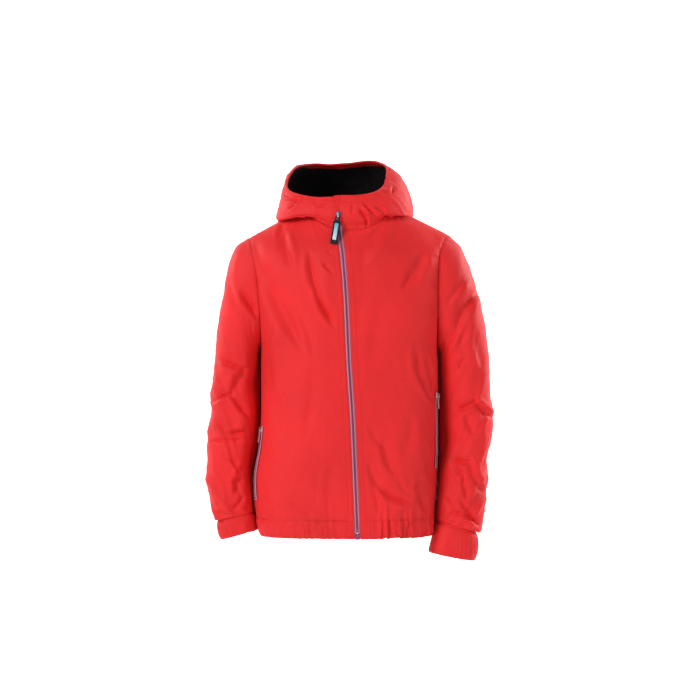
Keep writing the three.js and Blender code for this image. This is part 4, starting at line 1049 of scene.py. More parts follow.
def lining_material(name):
    colour = bpy.context.scene.rain_jacket_cloth.lining_colour
    return woven_material(name, tuple(colour), 0.9, 2600, 0.0002, 0.001, 0.05, 0.15)


def tape_material(name):
    colour = bpy.context.scene.rain_jacket_zips.tape_colour
    return woven_material(name, tuple(colour), 0.7, 4200, 0.0001, 0.0002, 0.2, 0.3)


def coil_material(name):
    colour = tuple(bpy.context.scene.rain_jacket_zips.coil_colour)
    return hard_material(name, colour, 0.4, 0.0, 0.00004)


def metal_material(name):
    colour = tuple(bpy.context.scene.rain_jacket_zips.metal_colour)
    return hard_material(name, colour, 0.3, 1.0, 0.00003)


def rubber_material(name):
    colour = tuple(bpy.context.scene.rain_jacket_zips.pull_colour)
    return hard_material(name, colour, 0.55, 0.0, 0.00006, **{"Specular IOR Level": 0.25})


def inset_material(name):
    """Blank inset of the pull tab: pale blue that whitens downwards."""
    zips = bpy.context.scene.rain_jacket_zips
    material, nodes, shader = new_material(name, {"Roughness": 0.35, "Specular IOR Level": 0.4})
    place = nodes.add("ShaderNodeTexCoord").outputs["Object"]
    height = nodes.add("ShaderNodeSeparateXYZ", {"Vector": place}).outputs[2]
    noise = nodes.add("ShaderNodeTexNoise", {"Vector": place, "Scale": 500.0}).outputs["Fac"]
    share = nodes.add("ShaderNodeMapRange", {"Value": height, 1: -0.008, 2: -0.034})
    patchy = nodes.math("ADD", share.outputs[0], nodes.math("MULTIPLY", noise, 0.12))
    two_tone(nodes, shader, patchy, tuple(zips.inset_colour), (0.62, 0.74, 0.8))
    return material


FINISHES = {
    "shell cloth": shell_material,
    "seam band": band_material,
    "thread": thread_material,
    "lining cloth": lining_material,
    "zip tape": tape_material,
    "zip coil": coil_material,
    "zip metal": metal_material,
    "pull rubber": rubber_material,
    "pull inset": inset_material,
}


# Settings a user would change


class RainJacketCloth(bpy.types.PropertyGroup):
    """Cloth of the jacket"""

    shell_colour: bpy.props.FloatVectorProperty(
        name="Shell", description="Colour of the outer cloth", subtype="COLOR", size=3,
        default=(0.80, 0.022, 0.024), min=0, max=1,
    )
    lining_colour: bpy.props.FloatVectorProperty(
        name="Lining", description="Colour of the hood's lining", subtype="COLOR", size=3,
        default=(0.006, 0.005, 0.006), min=0, max=1,
    )
    thickness: bpy.props.FloatProperty(
        name="Cloth thickness", description="Thickness of the outer cloth with its seams",
        default=0.0015, min=0.001, max=0.003, unit="LENGTH", precision=4,
    )
    lining_thickness: bpy.props.FloatProperty(
        name="Lining thickness", description="Thickness of lining, facing and zip tape",
        default=0.001, min=0.001, max=0.002, unit="LENGTH", precision=4,
    )
    fold_depth: bpy.props.FloatProperty(
        name="Folds", description="Depth of the folds against those of the worn jacket",
        default=1.0, min=0, max=1.5, subtype="FACTOR",
    )


class RainJacketZips(bpy.types.PropertyGroup):
    """Zips, sliders and pull tabs"""

    tape_colour: bpy.props.FloatVectorProperty(
        name="Tape", description="Colour of the zip tapes", subtype="COLOR", size=3,
        default=(0.66, 0.25, 0.36), min=0, max=1,
    )
    coil_colour: bpy.props.FloatVectorProperty(
        name="Coil", description="Colour of the zip's coil", subtype="COLOR", size=3,
        default=(0.24, 0.055, 0.14), min=0, max=1,
    )
    metal_colour: bpy.props.FloatVectorProperty(
        name="Metal", description="Colour of sliders and metal pulls", subtype="COLOR", size=3,
        default=(0.62, 0.62, 0.64), min=0, max=1,
    )
    pull_colour: bpy.props.FloatVectorProperty(
        name="Pull tab", description="Colour of the moulded pull tab", subtype="COLOR", size=3,
        default=(0.008, 0.008, 0.011), min=0, max=1,
    )
    inset_colour: bpy.props.FloatVectorProperty(
        name="Inset", description="Colour of the pull tab's blank inset", subtype="COLOR", size=3,
        default=(0.10, 0.42, 0.62), min=0, max=1,
    )
    coil_pitch: bpy.props.FloatProperty(
        name="Coil pitch", description="Length of zip for each turn of its coil",
        default=0.0016, min=0.001, max=0.003, unit="LENGTH", precision=4,
    )


class RainJacketStage(bpy.types.PropertyGroup):
    """Camera and light"""

    camera_distance: bpy.props.FloatProperty(
        name="Camera distance", description="Distance of the camera from the jacket",
        default=4.0, min=1, max=10, unit="LENGTH",
    )
    camera_height: bpy.props.FloatProperty(
        name="Camera height", description="Height of the camera from the neck opening",
        default=-0.22, min=-1, max=1, unit="LENGTH",
    )
    key_power: bpy.props.FloatProperty(
        name="Key light", description="Power of the light at the front left", default=83, min=0,
        unit="POWER",
    )
    fill_power: bpy.props.FloatProperty(
        name="Fill light", description="Power of the light at the front right", default=21, min=0,
        unit="POWER",
    )
    rim_power: bpy.props.FloatProperty(
        name="Rim light", description="Power of the light behind on the right", default=75, min=0,
        unit="POWER",
    )


# Pieces


def settings():
    """Cloth thickness and lining thickness in millimetres, and the share of the folds."""
    cloth = bpy.context.scene.rain_jacket_cloth
    return cloth.thickness / MM, cloth.lining_thickness / MM, cloth.fold_depth


def hem_share(face, x, z):
    """Share of the half hem from the zip to the side, or of the back hem from side to side."""
    reach = side_reach(x, z)
    if face == "back":
        return np.arccos(np.clip(x / reach, -1, 1)) / math.pi
    sign = np.sign(np.asarray(x).flat[np.argmax(np.abs(x))])
    inner = zip_x(z) + sign * ZIP_GAP
    return np.arcsin(np.clip((x - inner) / (sign * reach - inner), 0, 1)) / (math.pi / 2)


def above_hem(face, key, grid):
    """The hem's gathers as they run out up the panel: by an exponential of the height."""
    height = grid[..., 2] - HEM_SEAM_Z
    share = hem_share(face, grid[..., 0], grid[..., 2])
    return 0.7 * gathers(share, HEM_GATHERS[key], 2 + key) * np.exp(-height / 20)


def panel_normals(grid):
    """Cut edges: flat across the side and shoulder seams, level at the hem."""
    normals = grid_normals(grid)
    shoulder = np.abs(grid[-1, :, 0]) > NECK_HALF - SEAM_GAP
    at_side = np.zeros(grid.shape[:2], bool)
    lower = grid[..., 2] < ARMPIT_Z + 4
    at_side[:, [0, -1]] = (np.abs(grid[:, [0, -1], 1]) < 4) & lower[:, [0, -1]]
    at_side[-1] |= shoulder
    normals[..., 1] = np.where(at_side, 0, normals[..., 1])
    normals[0, :, 2] = 0
    return unit(normals)


def front_grid(sign, fold):
    """A front: its plain panel moved out along its normals by creases, swell and seams."""
    places = np.concatenate([neck_places(sign, 34), shoulder_places(sign, 46)])
    inner = lambda z: zip_x(z) + sign * ZIP_GAP
    grid = panel_grid("front", places[::sign] if sign > 0 else places[::-1], inner, 110, 96)
    normals = grid_normals(grid)
    x, z = grid[..., 0], grid[..., 2]
    across, along = arc(grid, 1), arc(grid, 0)
    low, high, start, end = edge_distances(grid)
    to_zip, to_side = (start, end) if sign > 0 else (end, start)
    edges = smooth_step(0, 12, np.minimum(high, to_side)) * smooth_step(6, 30, to_zip)
    facing = smooth_step(0.1, 0.5, -normals[..., 1])
    height = creases(x, z, FRONT_CREASES) * smooth_step(0, 18, low + 4)
    height += swell(across + 300 * sign, along, 11)
    lower_half = smooth_step(-330, -480, z)
    small = ruffle(across, along, 21, 26, 2.2, 14 * sign) - 0.3
    height += small * (0.5 + 1.3 * lower_half * (sign > 0))
    height = fold * height * edges * facing
    armhole = (0.7, 1.3) if sign > 0 else (0.35, 0.7)
    height += seam_pinch(to_side, along, 31 + sign, *armhole) * (to_side < 60)
    height += seam_pinch(high, across, 33 + sign, 0.2, 0.9)
    height += seam_pinch(low, across, 35 + sign, 0.6, 0.8) + fold * above_hem("front", sign, grid)
    height += 0.5 * np.exp(-(((to_zip - 4) / 2.5) ** 2)) * smooth_step(0, 4, to_zip)
    return grid + normals * height[..., None], to_zip


def make_fronts():
    """Two fronts with their topstitching beside the zip and along the armhole."""
    thickness, _, fold = settings()
    lines = []
    for sign in (1, -1):
        side = SHOULDERS[sign]["side"]
        grid, to_zip = front_grid(sign, fold)
        normals = grid_normals(grid)
        level = {"start" if sign > 0 else "end": (1, 0, 0)}
        shell = cloth_shell(
            f"front_{side}_cloth", grid, thickness, finish("shell cloth"), level=level,
            normals=panel_normals(grid),
        )
        finish_piece(shell, nodes=[f"front_{side}"])
        rows = np.arange(2, grid.shape[0] - 2, dtype=float)
        ordered = to_zip[2:-2] if sign > 0 else to_zip[2:-2, ::-1]
        for distance in (2.2, 9.5):
            column = column_at(ordered, distance)
            column = column if sign > 0 else grid.shape[1] - 1 - column
            lines.append(grid_line(grid, normals, rows, column))
        columns = np.arange(2, grid.shape[1] - 2, dtype=float)
        lines.append(grid_line(grid, normals, row_at(arc(grid, 0)[:, 2:-2], 2.5), columns))
    stitches("front_stitching", lines, finish("thread"))


def back_grid(fold):
    """The back: its plain panel moved out along its normals by creases, swell and seams."""
    places = np.concatenate([
        shoulder_places(1, 40)[::-1], back_neck_places(44), shoulder_places(-1, 40)
    ])
    grid = panel_grid("back", places, lambda z: 0 * z, 92, 80)
    normals = grid_normals(grid)
    x, z = grid[..., 0], grid[..., 2]
    across, along = arc(grid, 1), arc(grid, 0)
    low, high, start, end = edge_distances(grid)
    side = np.minimum(start, end)
    edges = smooth_step(0, 12, np.minimum(high, side))
    facing = smooth_step(0.1, 0.5, normals[..., 1])
    height = creases(x, z, BACK_CREASES) * smooth_step(0, 18, low + 4)
    height += 1.2 * swell(across, along, 12)
    height += 1.2 * (ruffle(across, along, 22, 28, 2.2, -10) - 0.3)
    height = fold * height * edges * facing
    height += seam_pinch(side, along, 41, 0.6, 1.0) + seam_pinch(high, across, 43, 0.5, 0.8)
    height += seam_pinch(low, across, 45, 0.6, 0.8) + fold * above_hem("back", 0, grid)
    return grid + normals * height[..., None]


def make_back():
    """The back with the topstitching above its hem and below its neck."""
    thickness, _, fold = settings()
    grid = back_grid(fold)
    shell = cloth_shell(
        "back_cloth", grid, thickness, finish("shell cloth"), normals=panel_normals(grid)
    )
    finish_piece(shell, nodes=["back"])
    normals = grid_normals(grid)
    columns = np.arange(2, grid.shape[1] - 2, dtype=float)
    lines = [grid_line(grid, normals, row_at(arc(grid, 0)[:, 2:-2], 2.5), columns)]
    from_top = arc(grid[::-1], 0)
    row = grid.shape[0] - 1 - row_at(from_top[:, 2:-2], 2.5)
    lines.append(grid_line(grid, normals, row, columns))
    stitches("back_stitching", lines, finish("thread"))


def hem_grid(face, key, columns, rows, fold):
    """Hem casing: the body's surface below the hem seam, standing out by its gathers."""
    t = np.linspace(0, 1, rows + 1)[:, None]
    z = mix(HEM_BOTTOM_Z, HEM_SEAM_Z - SEAM_GAP, t) + np.zeros(columns + 1)
    share = np.linspace(0, 1, columns + 1)[None, :]
    drawn = share + 0.012 * soft_noise(share * 30 + 1.5 * t, 2.2 * t, 61 + key) * np.sin(math.pi * share)
    if face == "back":
        turn = np.cos(math.pi * share)
        half = np.where(turn < 0, -1.0, 1.0)
        inner = 0 * z
    else:
        turn = np.sin(math.pi / 2 * share)
        half, inner = float(key) + 0 * z, zip_x(z) + key * ZIP_GAP
    x = mix(inner, half * side_reach(half + 0 * z, z), np.abs(turn))
    grid = body_point(face, x, z)
    height = gathers(drawn, HEM_GATHERS[key], 2 + key) * mix(1.0, 0.6, t)
    slant = 0.5 * soft_noise(share * 34 + 2.5 * t, t * 2.2, 51 + key)
    height = fold * height * (1 + slant)
    ends = smooth_step(0, 0.03, share) * smooth_step(1, 0.97, share)
    height += 0.7 * np.sin(math.pi * t) ** 0.5 * ends
    height += -0.6 * np.exp(-(((1 - t) * 31 / 3) ** 2))
    outward = unit(grid * np.array([0.5, 1.0, 0.0]))
    grid = grid + outward * height[..., None]
    wave = fold * 0.5 * gathers(share, HEM_GATHERS[key], 2 + key) * (1 - t) ** 3
    grid[..., 2] += 0.7 * wave
    return grid


def make_hem():
    """The gathered hem casing in three pieces, with the stitching of its lower edge."""
    thickness, _, fold = settings()
    up, cut, square = (0, 0, 1), (0, 1, 0), (1, 0, 0)
    lines = []
    for face, key, columns in (("front", 1, 260), ("front", -1, 260), ("back", 0, 520)):
        grid = hem_grid(face, key, columns, 12, fold)
        if key < 0:
            grid = grid[:, ::-1]
        name = "hem_back" if key == 0 else f"hem_front_{SHOULDERS[key]['side']}"
        ends = {1: (square, cut), -1: (cut, square), 0: (cut, cut)}[key]
        level = {"first": up, "last": up, "start": ends[0], "end": ends[1]}
        shell = cloth_shell(f"{name}_cloth", grid, thickness, finish("seam band"), level=level)
        finish_piece(shell, nodes=[name])
        normals = grid_normals(grid)
        line = np.arange(2, grid.shape[1] - 2, dtype=float)
        lines.append(grid_line(grid, normals, 1.4, line))
    stitches("hem_stitching", lines, finish("thread"))


def sleeve_grid(sign, fold, rings=200, half_turn=68):
    """A sleeve: rings from the armhole down the arm by smooth curves, folded by its creases."""
    turns = np.arange(2 * half_turn) * math.pi / half_turn
    rows = SLEEVES[sign]
    stack = np.concatenate([armhole_ring(sign, turns)[None], ring_points(rows, sign, turns)])
    keys = np.arange(len(stack), dtype=float)
    at = np.linspace(0, len(stack) - 1, rings)
    grid = smooth_curve(keys, stack, at)
    if sign < 0:
        grid, turns = grid[:, ::-1], turns[::-1]
    normals = grid_normals(grid, True)
    grid, resting = rest_on_body(grid, sign, turns)
    x, z = grid[..., 0], grid[..., 2]
    across, along = arc(grid, 1), arc(grid, 0)
    low, high, _, _ = edge_distances(grid, True)
    edges = smooth_step(0, 12, low) * smooth_step(0, 9, high)
    front, back = (smooth_step(-0.25, 0.35, -s * normals[..., 1]) for s in (1, -1))
    free = smooth_step(-0.85, -0.35, sign * normals[..., 0]) * (1 - resting)
    turned = np.minimum(across, across[:, -1:] - across)
    height = front * creases(x, z, SLEEVE_CREASES[sign])
    height += back * creases(x, z, SLEEVE_BACK_CREASES[sign])
    height += swell(turned + 90, along, 13 + sign)
    bent = smooth_step(-230, -330, z)
    height += (0.6 + 1.2 * bent) * (ruffle(turned, along, 25 + sign, 24, 1.8, 62) - 0.3)
    height += (1.5 + 3.5 * bent) * (facets(turned, along, 65 + sign, 44, 1.5, 58) - 0.6)
    height = fold * height * edges * free
    armhole = (0.7, 1.4) if sign > 0 else (0.35, 0.7)
    height += seam_pinch(low, turned, 47 + sign, *armhole)
    height += seam_pinch(high, turned, 49 + sign, 0.8, 2.0)
    return grid + normals * height[..., None]


def rest_on_body(grid, sign, turns):
    """The inner side of a hanging sleeve, behind its middle, lies against the side of the body: it
    moves to the oval of the body at its own height, and backwards with it. The share of the way
    that each point moves goes with the grid."""
    x, y, z = np.moveaxis(grid, -1, 0)
    turned = np.degrees(turns)[None, :]
    inward = smooth_step(168, 198, turned) * smooth_step(286, 246, turned)
    resting = inward * smooth_step(-190, -215, z) * smooth_step(-550, -520, z)
    y = y + REST_BACK * resting * smooth_step(195, 235, turned)
    full = smooth_curve(BODY["z"], BODY["back"], z)
    square = smooth_curve(BODY["z"], BODY["square"], z)
    reach = side_reach(sign + 0 * z, z)
    side = reach * (1 - np.clip(np.abs(y) / full, 0, 0.98) ** square) ** (1 / square)
    target = sign * np.minimum(side + REST_GAP, np.abs(x))
    return points(mix(x, target, resting), y, z), resting


def arm_direction(rows, sign, index):
    """Along the arm, square to a row's two edges."""
    wide, high = (rows["out_x"] - rows["in_x"])[index], (rows["out_z"] - rows["in_z"])[index]
    across = np.array([sign * wide, 0, high])
    return unit(np.cross(across, (0.0, 1.0, 0.0)))


def make_sleeves():
    """Two sleeves with the topstitching beside the armhole seams."""
    thickness, _, fold = settings()
    lines = []
    for sign in (1, -1):
        side = SHOULDERS[sign]["side"]
        grid = sleeve_grid(sign, fold)
        level = {"first": (1, 0, 0), "last": arm_direction(SLEEVES[sign], sign, -1)}
        shell = cloth_shell(
            f"sleeve_{side}_cloth", grid, thickness, finish("shell cloth"), ring=True, level=level
        )
        finish_piece(shell, nodes=[f"sleeve_{side}"])
        closed = np.concatenate([grid, grid[:, :1]], axis=1)
        normals = grid_normals(closed)
        columns = np.arange(0, closed.shape[1] - 1, dtype=float)
        lines.append(grid_line(closed, normals, row_at(arc(closed, 0)[:, :-1], 2.5), columns))
    stitches("sleeve_stitching", lines, finish("thread"))


def cuff_grid(sign, fold, rings=26, half_turn=60):
    """A cuff band: rings by smooth curves, puckered by its elastic towards the outer edge."""
    turns = np.arange(2 * half_turn) * math.pi / half_turn
    rows = CUFFS[sign]
    stack = ring_points(rows, sign, turns)
    grid = smooth_curve(np.arange(4.0), stack, np.linspace(0, 3, rings))
    plain = grid
    grid, resting = rest_on_body(grid, sign, turns)
    down = arm_direction(rows, sign, 0)
    down = down if down[2] < 0 else -down
    along = np.linspace(0, 1, rings)[:, None]
    tucked = np.exp(-((along * (rings - 1) / 2) ** 2))
    grid = grid + down * (SEAM_GAP - CUFF_TUCK * tucked[..., None])
    elastic = smooth_step(0.2, 1.0, np.cos(turns - 0.5)) + 0.4 * smooth_step(math.pi, 4.2, turns)
    pucker = np.abs(np.sin(17 * turns + 2 * along)) ** 0.8 * elastic * np.sin(math.pi * along) ** 0.4
    rolled = 1.1 * np.sin(math.pi * np.clip(along, 0, 1)) ** 0.5
    pinch = -CUFF_TUCK * tucked
    uneven = soft_noise(turns * 2.3 + 0.5 * along, 1.6 * along, 63 + sign)
    height = fold * (1.9 * pucker + 1.6 * uneven * along + 1.2 * np.cos(2 * turns + sign) * along)
    height = height * (1 - resting) + rolled + pinch
    if sign < 0:
        grid, plain, height = grid[:, ::-1], plain[:, ::-1], height[:, ::-1]
    return grid + grid_normals(plain, True) * height[..., None]


def make_cuffs():
    """Two elasticated cuff bands with their edge stitching."""
    thickness, _, fold = settings()
    lines = []
    for sign in (1, -1):
        side = SHOULDERS[sign]["side"]
        grid = cuff_grid(sign, fold)
        down = arm_direction(CUFFS[sign], sign, 0)
        level = {"first": down, "last": arm_direction(CUFFS[sign], sign, -1)}
        shell = cloth_shell(
            f"cuff_{side}_cloth", grid, thickness, finish("seam band"), ring=True, level=level
        )
        finish_piece(shell, nodes=[f"cuff_{side}"])
        closed = np.concatenate([grid, grid[:, :1]], axis=1)
        normals = grid_normals(closed)
        columns = np.arange(0, closed.shape[1] - 1, dtype=float)
        for row in (2.5, grid.shape[0] - 3.5):
            lines.append(grid_line(closed, normals, row, columns))
    stitches("cuff_stitching", lines, finish("thread"))


HOOD_COLUMNS = (70, 96, 84)
HOOD_SEAMS = (HOOD_COLUMNS[0] + 24, HOOD_COLUMNS[0] + HOOD_COLUMNS[1] - 24)


def folded_hood(fold):
    """The hood's grid with its creases, and pinched at the neck seam and its rolled edge."""
    grid, turn = hood_grid(*HOOD_COLUMNS)
    normals = grid_normals(grid)
    x, z = grid[..., 0], grid[..., 2]
    across, along = arc(grid, 1), arc(grid, 0)
    low, high, start, end = edge_distances(grid)
    side = np.minimum(start, end)
    edges = smooth_step(0, 6, low) * smooth_step(0, 6, high) * smooth_step(2, 16, side)
    front, back = (smooth_step(-0.1, 0.4, -s * normals[..., 1]) for s in (1, -1))
    height = front * creases(x, z, HOOD_FRONT_CREASES) + back * creases(x, z, HOOD_BACK_CREASES)
    height += 0.8 * swell(across, along, 14)
    height += 1.5 * (ruffle(across, along, 27, 17, 1.8, 30) - 0.3)
    height = fold * height * edges
    beside = smooth_step(0, 14, side)
    height += beside * (seam_pinch(low, across, 53, 0.2, 1.8) + seam_pinch(high, across, 55, 0.5, 0.9))
    height -= smooth_step(80, 40, np.abs(turn)) * 1.6 * np.exp(-(((low - 8) / 6) ** 2))
    for seam in HOOD_SEAMS:
        distance = np.abs(across - across[:, seam:seam + 1])
        height += seam_pinch(distance, along, 57 + seam, 0.9, 1.0) * smooth_step(0, 20, low)
    grid = grid + normals * height[..., None]
    behind = smooth_step(105, 160, np.abs(turn)) * smooth_step(60, 0, high)
    dip = 6 * np.exp(-(((180 - np.abs(turn)) / 22) ** 2)) + 3 * soft_noise(across / 42, 0 * across, 71)
    grid[..., 2] -= fold * behind * dip
    return grid, turn


def make_hood():
    """Three hood pieces, sewn to each other and to the neck, with stitching on seams and edge."""
    thickness, _, fold = settings()
    grid, _ = folded_hood(fold)
    level = {"start": (1, 0, 0), "end": (1, 0, 0), "first": (0, 0, 1)}
    normals = level_normals(grid_normals(grid), level)
    cuts = (0, *HOOD_SEAMS, grid.shape[1] - 1)
    for name, first, last in zip(("left", "middle", "right"), cuts[:-1], cuts[1:]):
        part = grid[:, first:last + 1].copy()
        if first > 0:
            part[:, 0] += unit(part[:, 1] - part[:, 0]) * SEAM_GAP / 2
        if last < cuts[-1]:
            part[:, -1] += unit(part[:, -2] - part[:, -1]) * SEAM_GAP / 2
        shell = cloth_shell(
            f"hood_{name}_cloth", part, thickness, finish("shell cloth"),
            normals=normals[:, first:last + 1],
        )
        finish_piece(shell, nodes=[f"hood_{name}"])
    rows = np.arange(2, grid.shape[0] - 2, dtype=float)
    columns = np.arange(1, grid.shape[1] - 1, dtype=float)
    lines = [grid_line(grid, normals, rows, seam + 0.9) for seam in HOOD_SEAMS]
    from_edge = arc(grid[::-1], 0)[:, 1:-1]
    lines.append(grid_line(grid, normals, grid.shape[0] - 1 - row_at(from_edge, 14), columns))
    lines.append(grid_line(grid, normals, row_at(arc(grid, 0)[:, 1:-1], 2.5), columns))
    stitches("hood_stitching", lines, finish("thread"))


def row_strip(grid, first, last, count):
    """Part of a grid between two fractional rows of each column, in even steps."""
    at = mix(first, last, np.linspace(0, 1, count)[:, None])
    column = np.arange(grid.shape[1])[None, :] + 0 * at
    j = np.clip(np.floor(at).astype(int), 0, grid.shape[0] - 2)
    share = (at - j)[..., None]
    column = column.astype(int)
    return mix(grid[j, column], grid[j + 1, column], share)


def make_hood_inside():
    """Lining and turned-in facing, moved in from the hood's own grid. The facing is one width all
    round; beside the neck the lining starts above the fold that lies on the shoulder."""
    thickness, lining, fold = settings()
    grid, turn = folded_hood(fold)
    normals = grid_normals(grid)
    inside = (grid - normals * (thickness + LAYER_GAP))[:, 3:-3]
    normals, turn = normals[:, 3:-3], np.abs(turn[3:-3])
    top = grid.shape[0] - 1
    facing = top - row_at(arc(grid[::-1], 0)[:, 3:-3], FACING_WIDTH)
    beside = smooth_step(28, 48, turn) * smooth_step(135, 115, turn)
    first = mix(LINING_FROM, LINING_FROM_BESIDE, beside) * top
    parts = (
        ("hood_lining", first, facing - 0.4, 64, "lining cloth", "lining", (0.62, 0.33, 0.085)),
        ("hood_facing", facing, top + 0 * facing, 8, "shell cloth", "shell", (0.64, 0.018, None)),
    )
    for name, low, high, count, material, slot, (width, length, area) in parts:
        part, out = row_strip(inside, low, high, count), unit(row_strip(normals, low, high, count))
        obj = cloth_shell(f"{name}_cloth", part, lining, finish(material), normals=out)
        finish_piece(obj, nodes=[name])


def zip_rows(bottom, top, pitch):
    return np.linspace(bottom, top, int(round((top - bottom) / pitch)) + 1)


def surface_frame(place, z):
    """Points up a zip line with their outward, across and upward directions."""
    step = 1.0
    path = place(0 * z, z)
    across = place(0 * z + step, z) - place(0 * z - step, z)
    along = place(0 * z, z + step) - place(0 * z, z - step)
    outward = unit(np.cross(across, along))
    upward = unit(np.gradient(path, axis=0))
    return path, outward, unit(np.cross(outward, upward)) * -1, upward


def coil(name, place, bottom, top, pitch, reach, depth, size):
    """Closed coil: two interlocked helices along the zip, each a thin round tube."""
    parts = []
    turns = (top - bottom) / pitch
    z = np.linspace(bottom, top, int(turns * 8) + 1)
    path, outward, across, upward = surface_frame(place, z)
    angle = 2 * math.pi * turns * np.linspace(0, 1, len(z))[:, None]
    for sign in (1, -1):
        phase = angle + (math.pi if sign < 0 else 0)
        middle = path + across * sign * reach * 0.62 + outward * depth
        line = middle + across * reach * 0.95 * np.cos(phase) + outward * reach * 0.6 * np.sin(phase)
        part = tube(f"{name}_{SHOULDERS[sign]['side']}", line, size, upward, 5, finish("zip coil"))
        parts.append(part)
    return join(name, parts)


def join(name, parts):
    """Several meshes as one object."""
    with bpy.context.temp_override(active_object=parts[0], selected_editable_objects=parts):
        bpy.ops.object.join()
    parts[0].name = parts[0].data.name = name
    return parts[0]


def main_zip_place(across, z):
    return front_point(zip_x(z) + across, z)


def tape_grid(sign, rows):
    """One tape, from the middle outwards: its bare edge bulges between the fronts by a smooth step,
    and the rest lies behind the front and the collar."""
    z = rows[:, None]
    across = np.array([COLLAR_GAP, 1.5, 2.6, 3.4, 3.9, 4.4, ZIP_GAP, 7, ZIP_GAP + TAPE_UNDERLAP])
    hidden = np.maximum(smooth_step(3.3, ZIP_GAP, across), smooth_step(-12, ZIP_TOP_Z, z))
    depth = mix(TAPE_RISE, TAPE_DEPTH, hidden)[:, ::sign]
    across = sign * across[::sign]
    grid = main_zip_place(across[None, :] + 0 * z, z + 0 * across[None, :])
    return grid - grid_normals(grid) * depth[..., None]


def make_front_zip():
    """Front zip: two tapes with a raised edge cord, the closed coil, and the box at the foot."""
    _, lining, _ = settings()
    pitch = bpy.context.scene.rain_jacket_zips.coil_pitch / MM
    rows = zip_rows(ZIP_BOTTOM_Z - 9, TAPE_TOP_Z, 3.0)
    for sign in (1, -1):
        side = SHOULDERS[sign]["side"]
        grid = tape_grid(sign, rows)
        level = {"first": (0, 0, 1), "last": (0, 0, 1), "start": (1, 0, 0), "end": (1, 0, 0)}
        tape = cloth_shell(f"zip_tape_{side}_cloth", grid, lining, finish("zip tape"), level=level)
        finish_piece(tape, nodes=[f"zip_tape_{side}"])
    chain = coil("zip_coil", main_zip_place, ZIP_BOTTOM_Z + 1, ZIP_TOP_Z, pitch, 1.0, -0.3, 0.4)
    finish_piece(chain, nodes=["zip_chain"])
    z = ZIP_BOTTOM_Z - SEAM_GAP - 5
    seat = main_zip_place(np.array([0.0]), np.array([z]))[0]
    outline = rounded_outline([(-4.5, -5), (4.5, -5), (4.5, 5), (-4.5, 5)], 1.4)
    profile = [(0.5, -1.7), (0.0, -1.2), (0.0, 1.1), (0.25, 1.5), (0.8, 1.7)]
    box = slab("zip_foot_box", outline, profile, finish("zip coil"))
    move_mesh(box, np.array([[1, 0, 0, seat[0]], [0, -1, 0, seat[1] + 1.5], [0, 0, 1, z], [0, 0, 0, 1]]))
    finish_piece(box, nodes=["zip_box"])


def rounded_outline(corners, radius, steps=5):
    """A closed outline with each corner cut by a parabola between points a radius from it."""
    corners = np.array(corners, float)
    before, after = np.roll(corners, 1, 0) - corners, np.roll(corners, -1, 0) - corners
    start, end = corners + unit(before) * radius, corners + unit(after) * radius
    t = np.linspace(0, 1, steps + 1)[None, :, None]
    path = (1 - t) ** 2 * start[:, None] + 2 * t * (1 - t) * corners[:, None] + t**2 * end[:, None]
    return path.reshape(-1, 2)


def slab(name, outline, profile, material):
    """A plate: its outline stepped in and up by a profile of inset and height, flat at both ends."""
    ahead = np.roll(outline, -1, 0) - np.roll(outline, 1, 0)
    inward = unit(np.stack([-ahead[:, 1], ahead[:, 0]], -1))
    inset, height = np.array(profile, float).T
    flat = outline[None] + inward[None] * inset[:, None, None]
    rings = points(flat[..., 0], height[:, None], flat[..., 1])
    return ring_stack(name, rings, material, smooth_angle=38)


def move_mesh(obj, matrix):
    """Place a mesh made in its own frame: a matrix in millimetres on every vertex, and its faces
    kept outward."""
    mesh = obj.data
    flat = np.empty(len(mesh.vertices) * 3)
    mesh.vertices.foreach_get("co", flat)
    moved = flat.reshape(-1, 3) @ matrix[:3, :3].T + matrix[:3, 3] * MM
    mesh.vertices.foreach_set("co", moved.ravel())
    if np.linalg.det(matrix[:3, :3]) < 0:
        mesh.flip_normals()
    mesh.update()


def turn_matrix(axis, degrees):
    """A turn about one axis as a matrix."""
    c, s = math.cos(math.radians(degrees)), math.sin(math.radians(degrees))
    i, j = [(1, 2), (2, 0), (0, 1)]["xyz".index(axis)]
    matrix = np.eye(4)
    matrix[i, i] = matrix[j, j] = c
    matrix[i, j], matrix[j, i] = -s, s
    return matrix


def slider_frames(size, seat, below, outward):
    """The slider's frame (X across, Y out, Z up the zip) and that of its pull's bar."""
    upward = unit(seat - below)
    side = unit(np.cross(outward, upward))
    square = unit(np.cross(upward, side))
    frame_ = np.eye(4)
    frame_[:3, :3] = np.stack([side, square, upward], 1)
    frame_[:3, 3] = seat
    bar_reach = math.hypot(size["eye_bar"], size["pull_thickness"]) / 2
    swing = np.eye(4)
    swing[1, 3] = size["plate"] + (size["bridge_height"] - size["bridge_bar"]) / 2
    swing[2, 3] = size["bridge_bar"] + SEAM_GAP + bar_reach - size["bridge_length"] / 2
    return frame_, frame_ @ swing @ turn_matrix("y", size["lean"]) @ turn_matrix("x", size["tilt"])


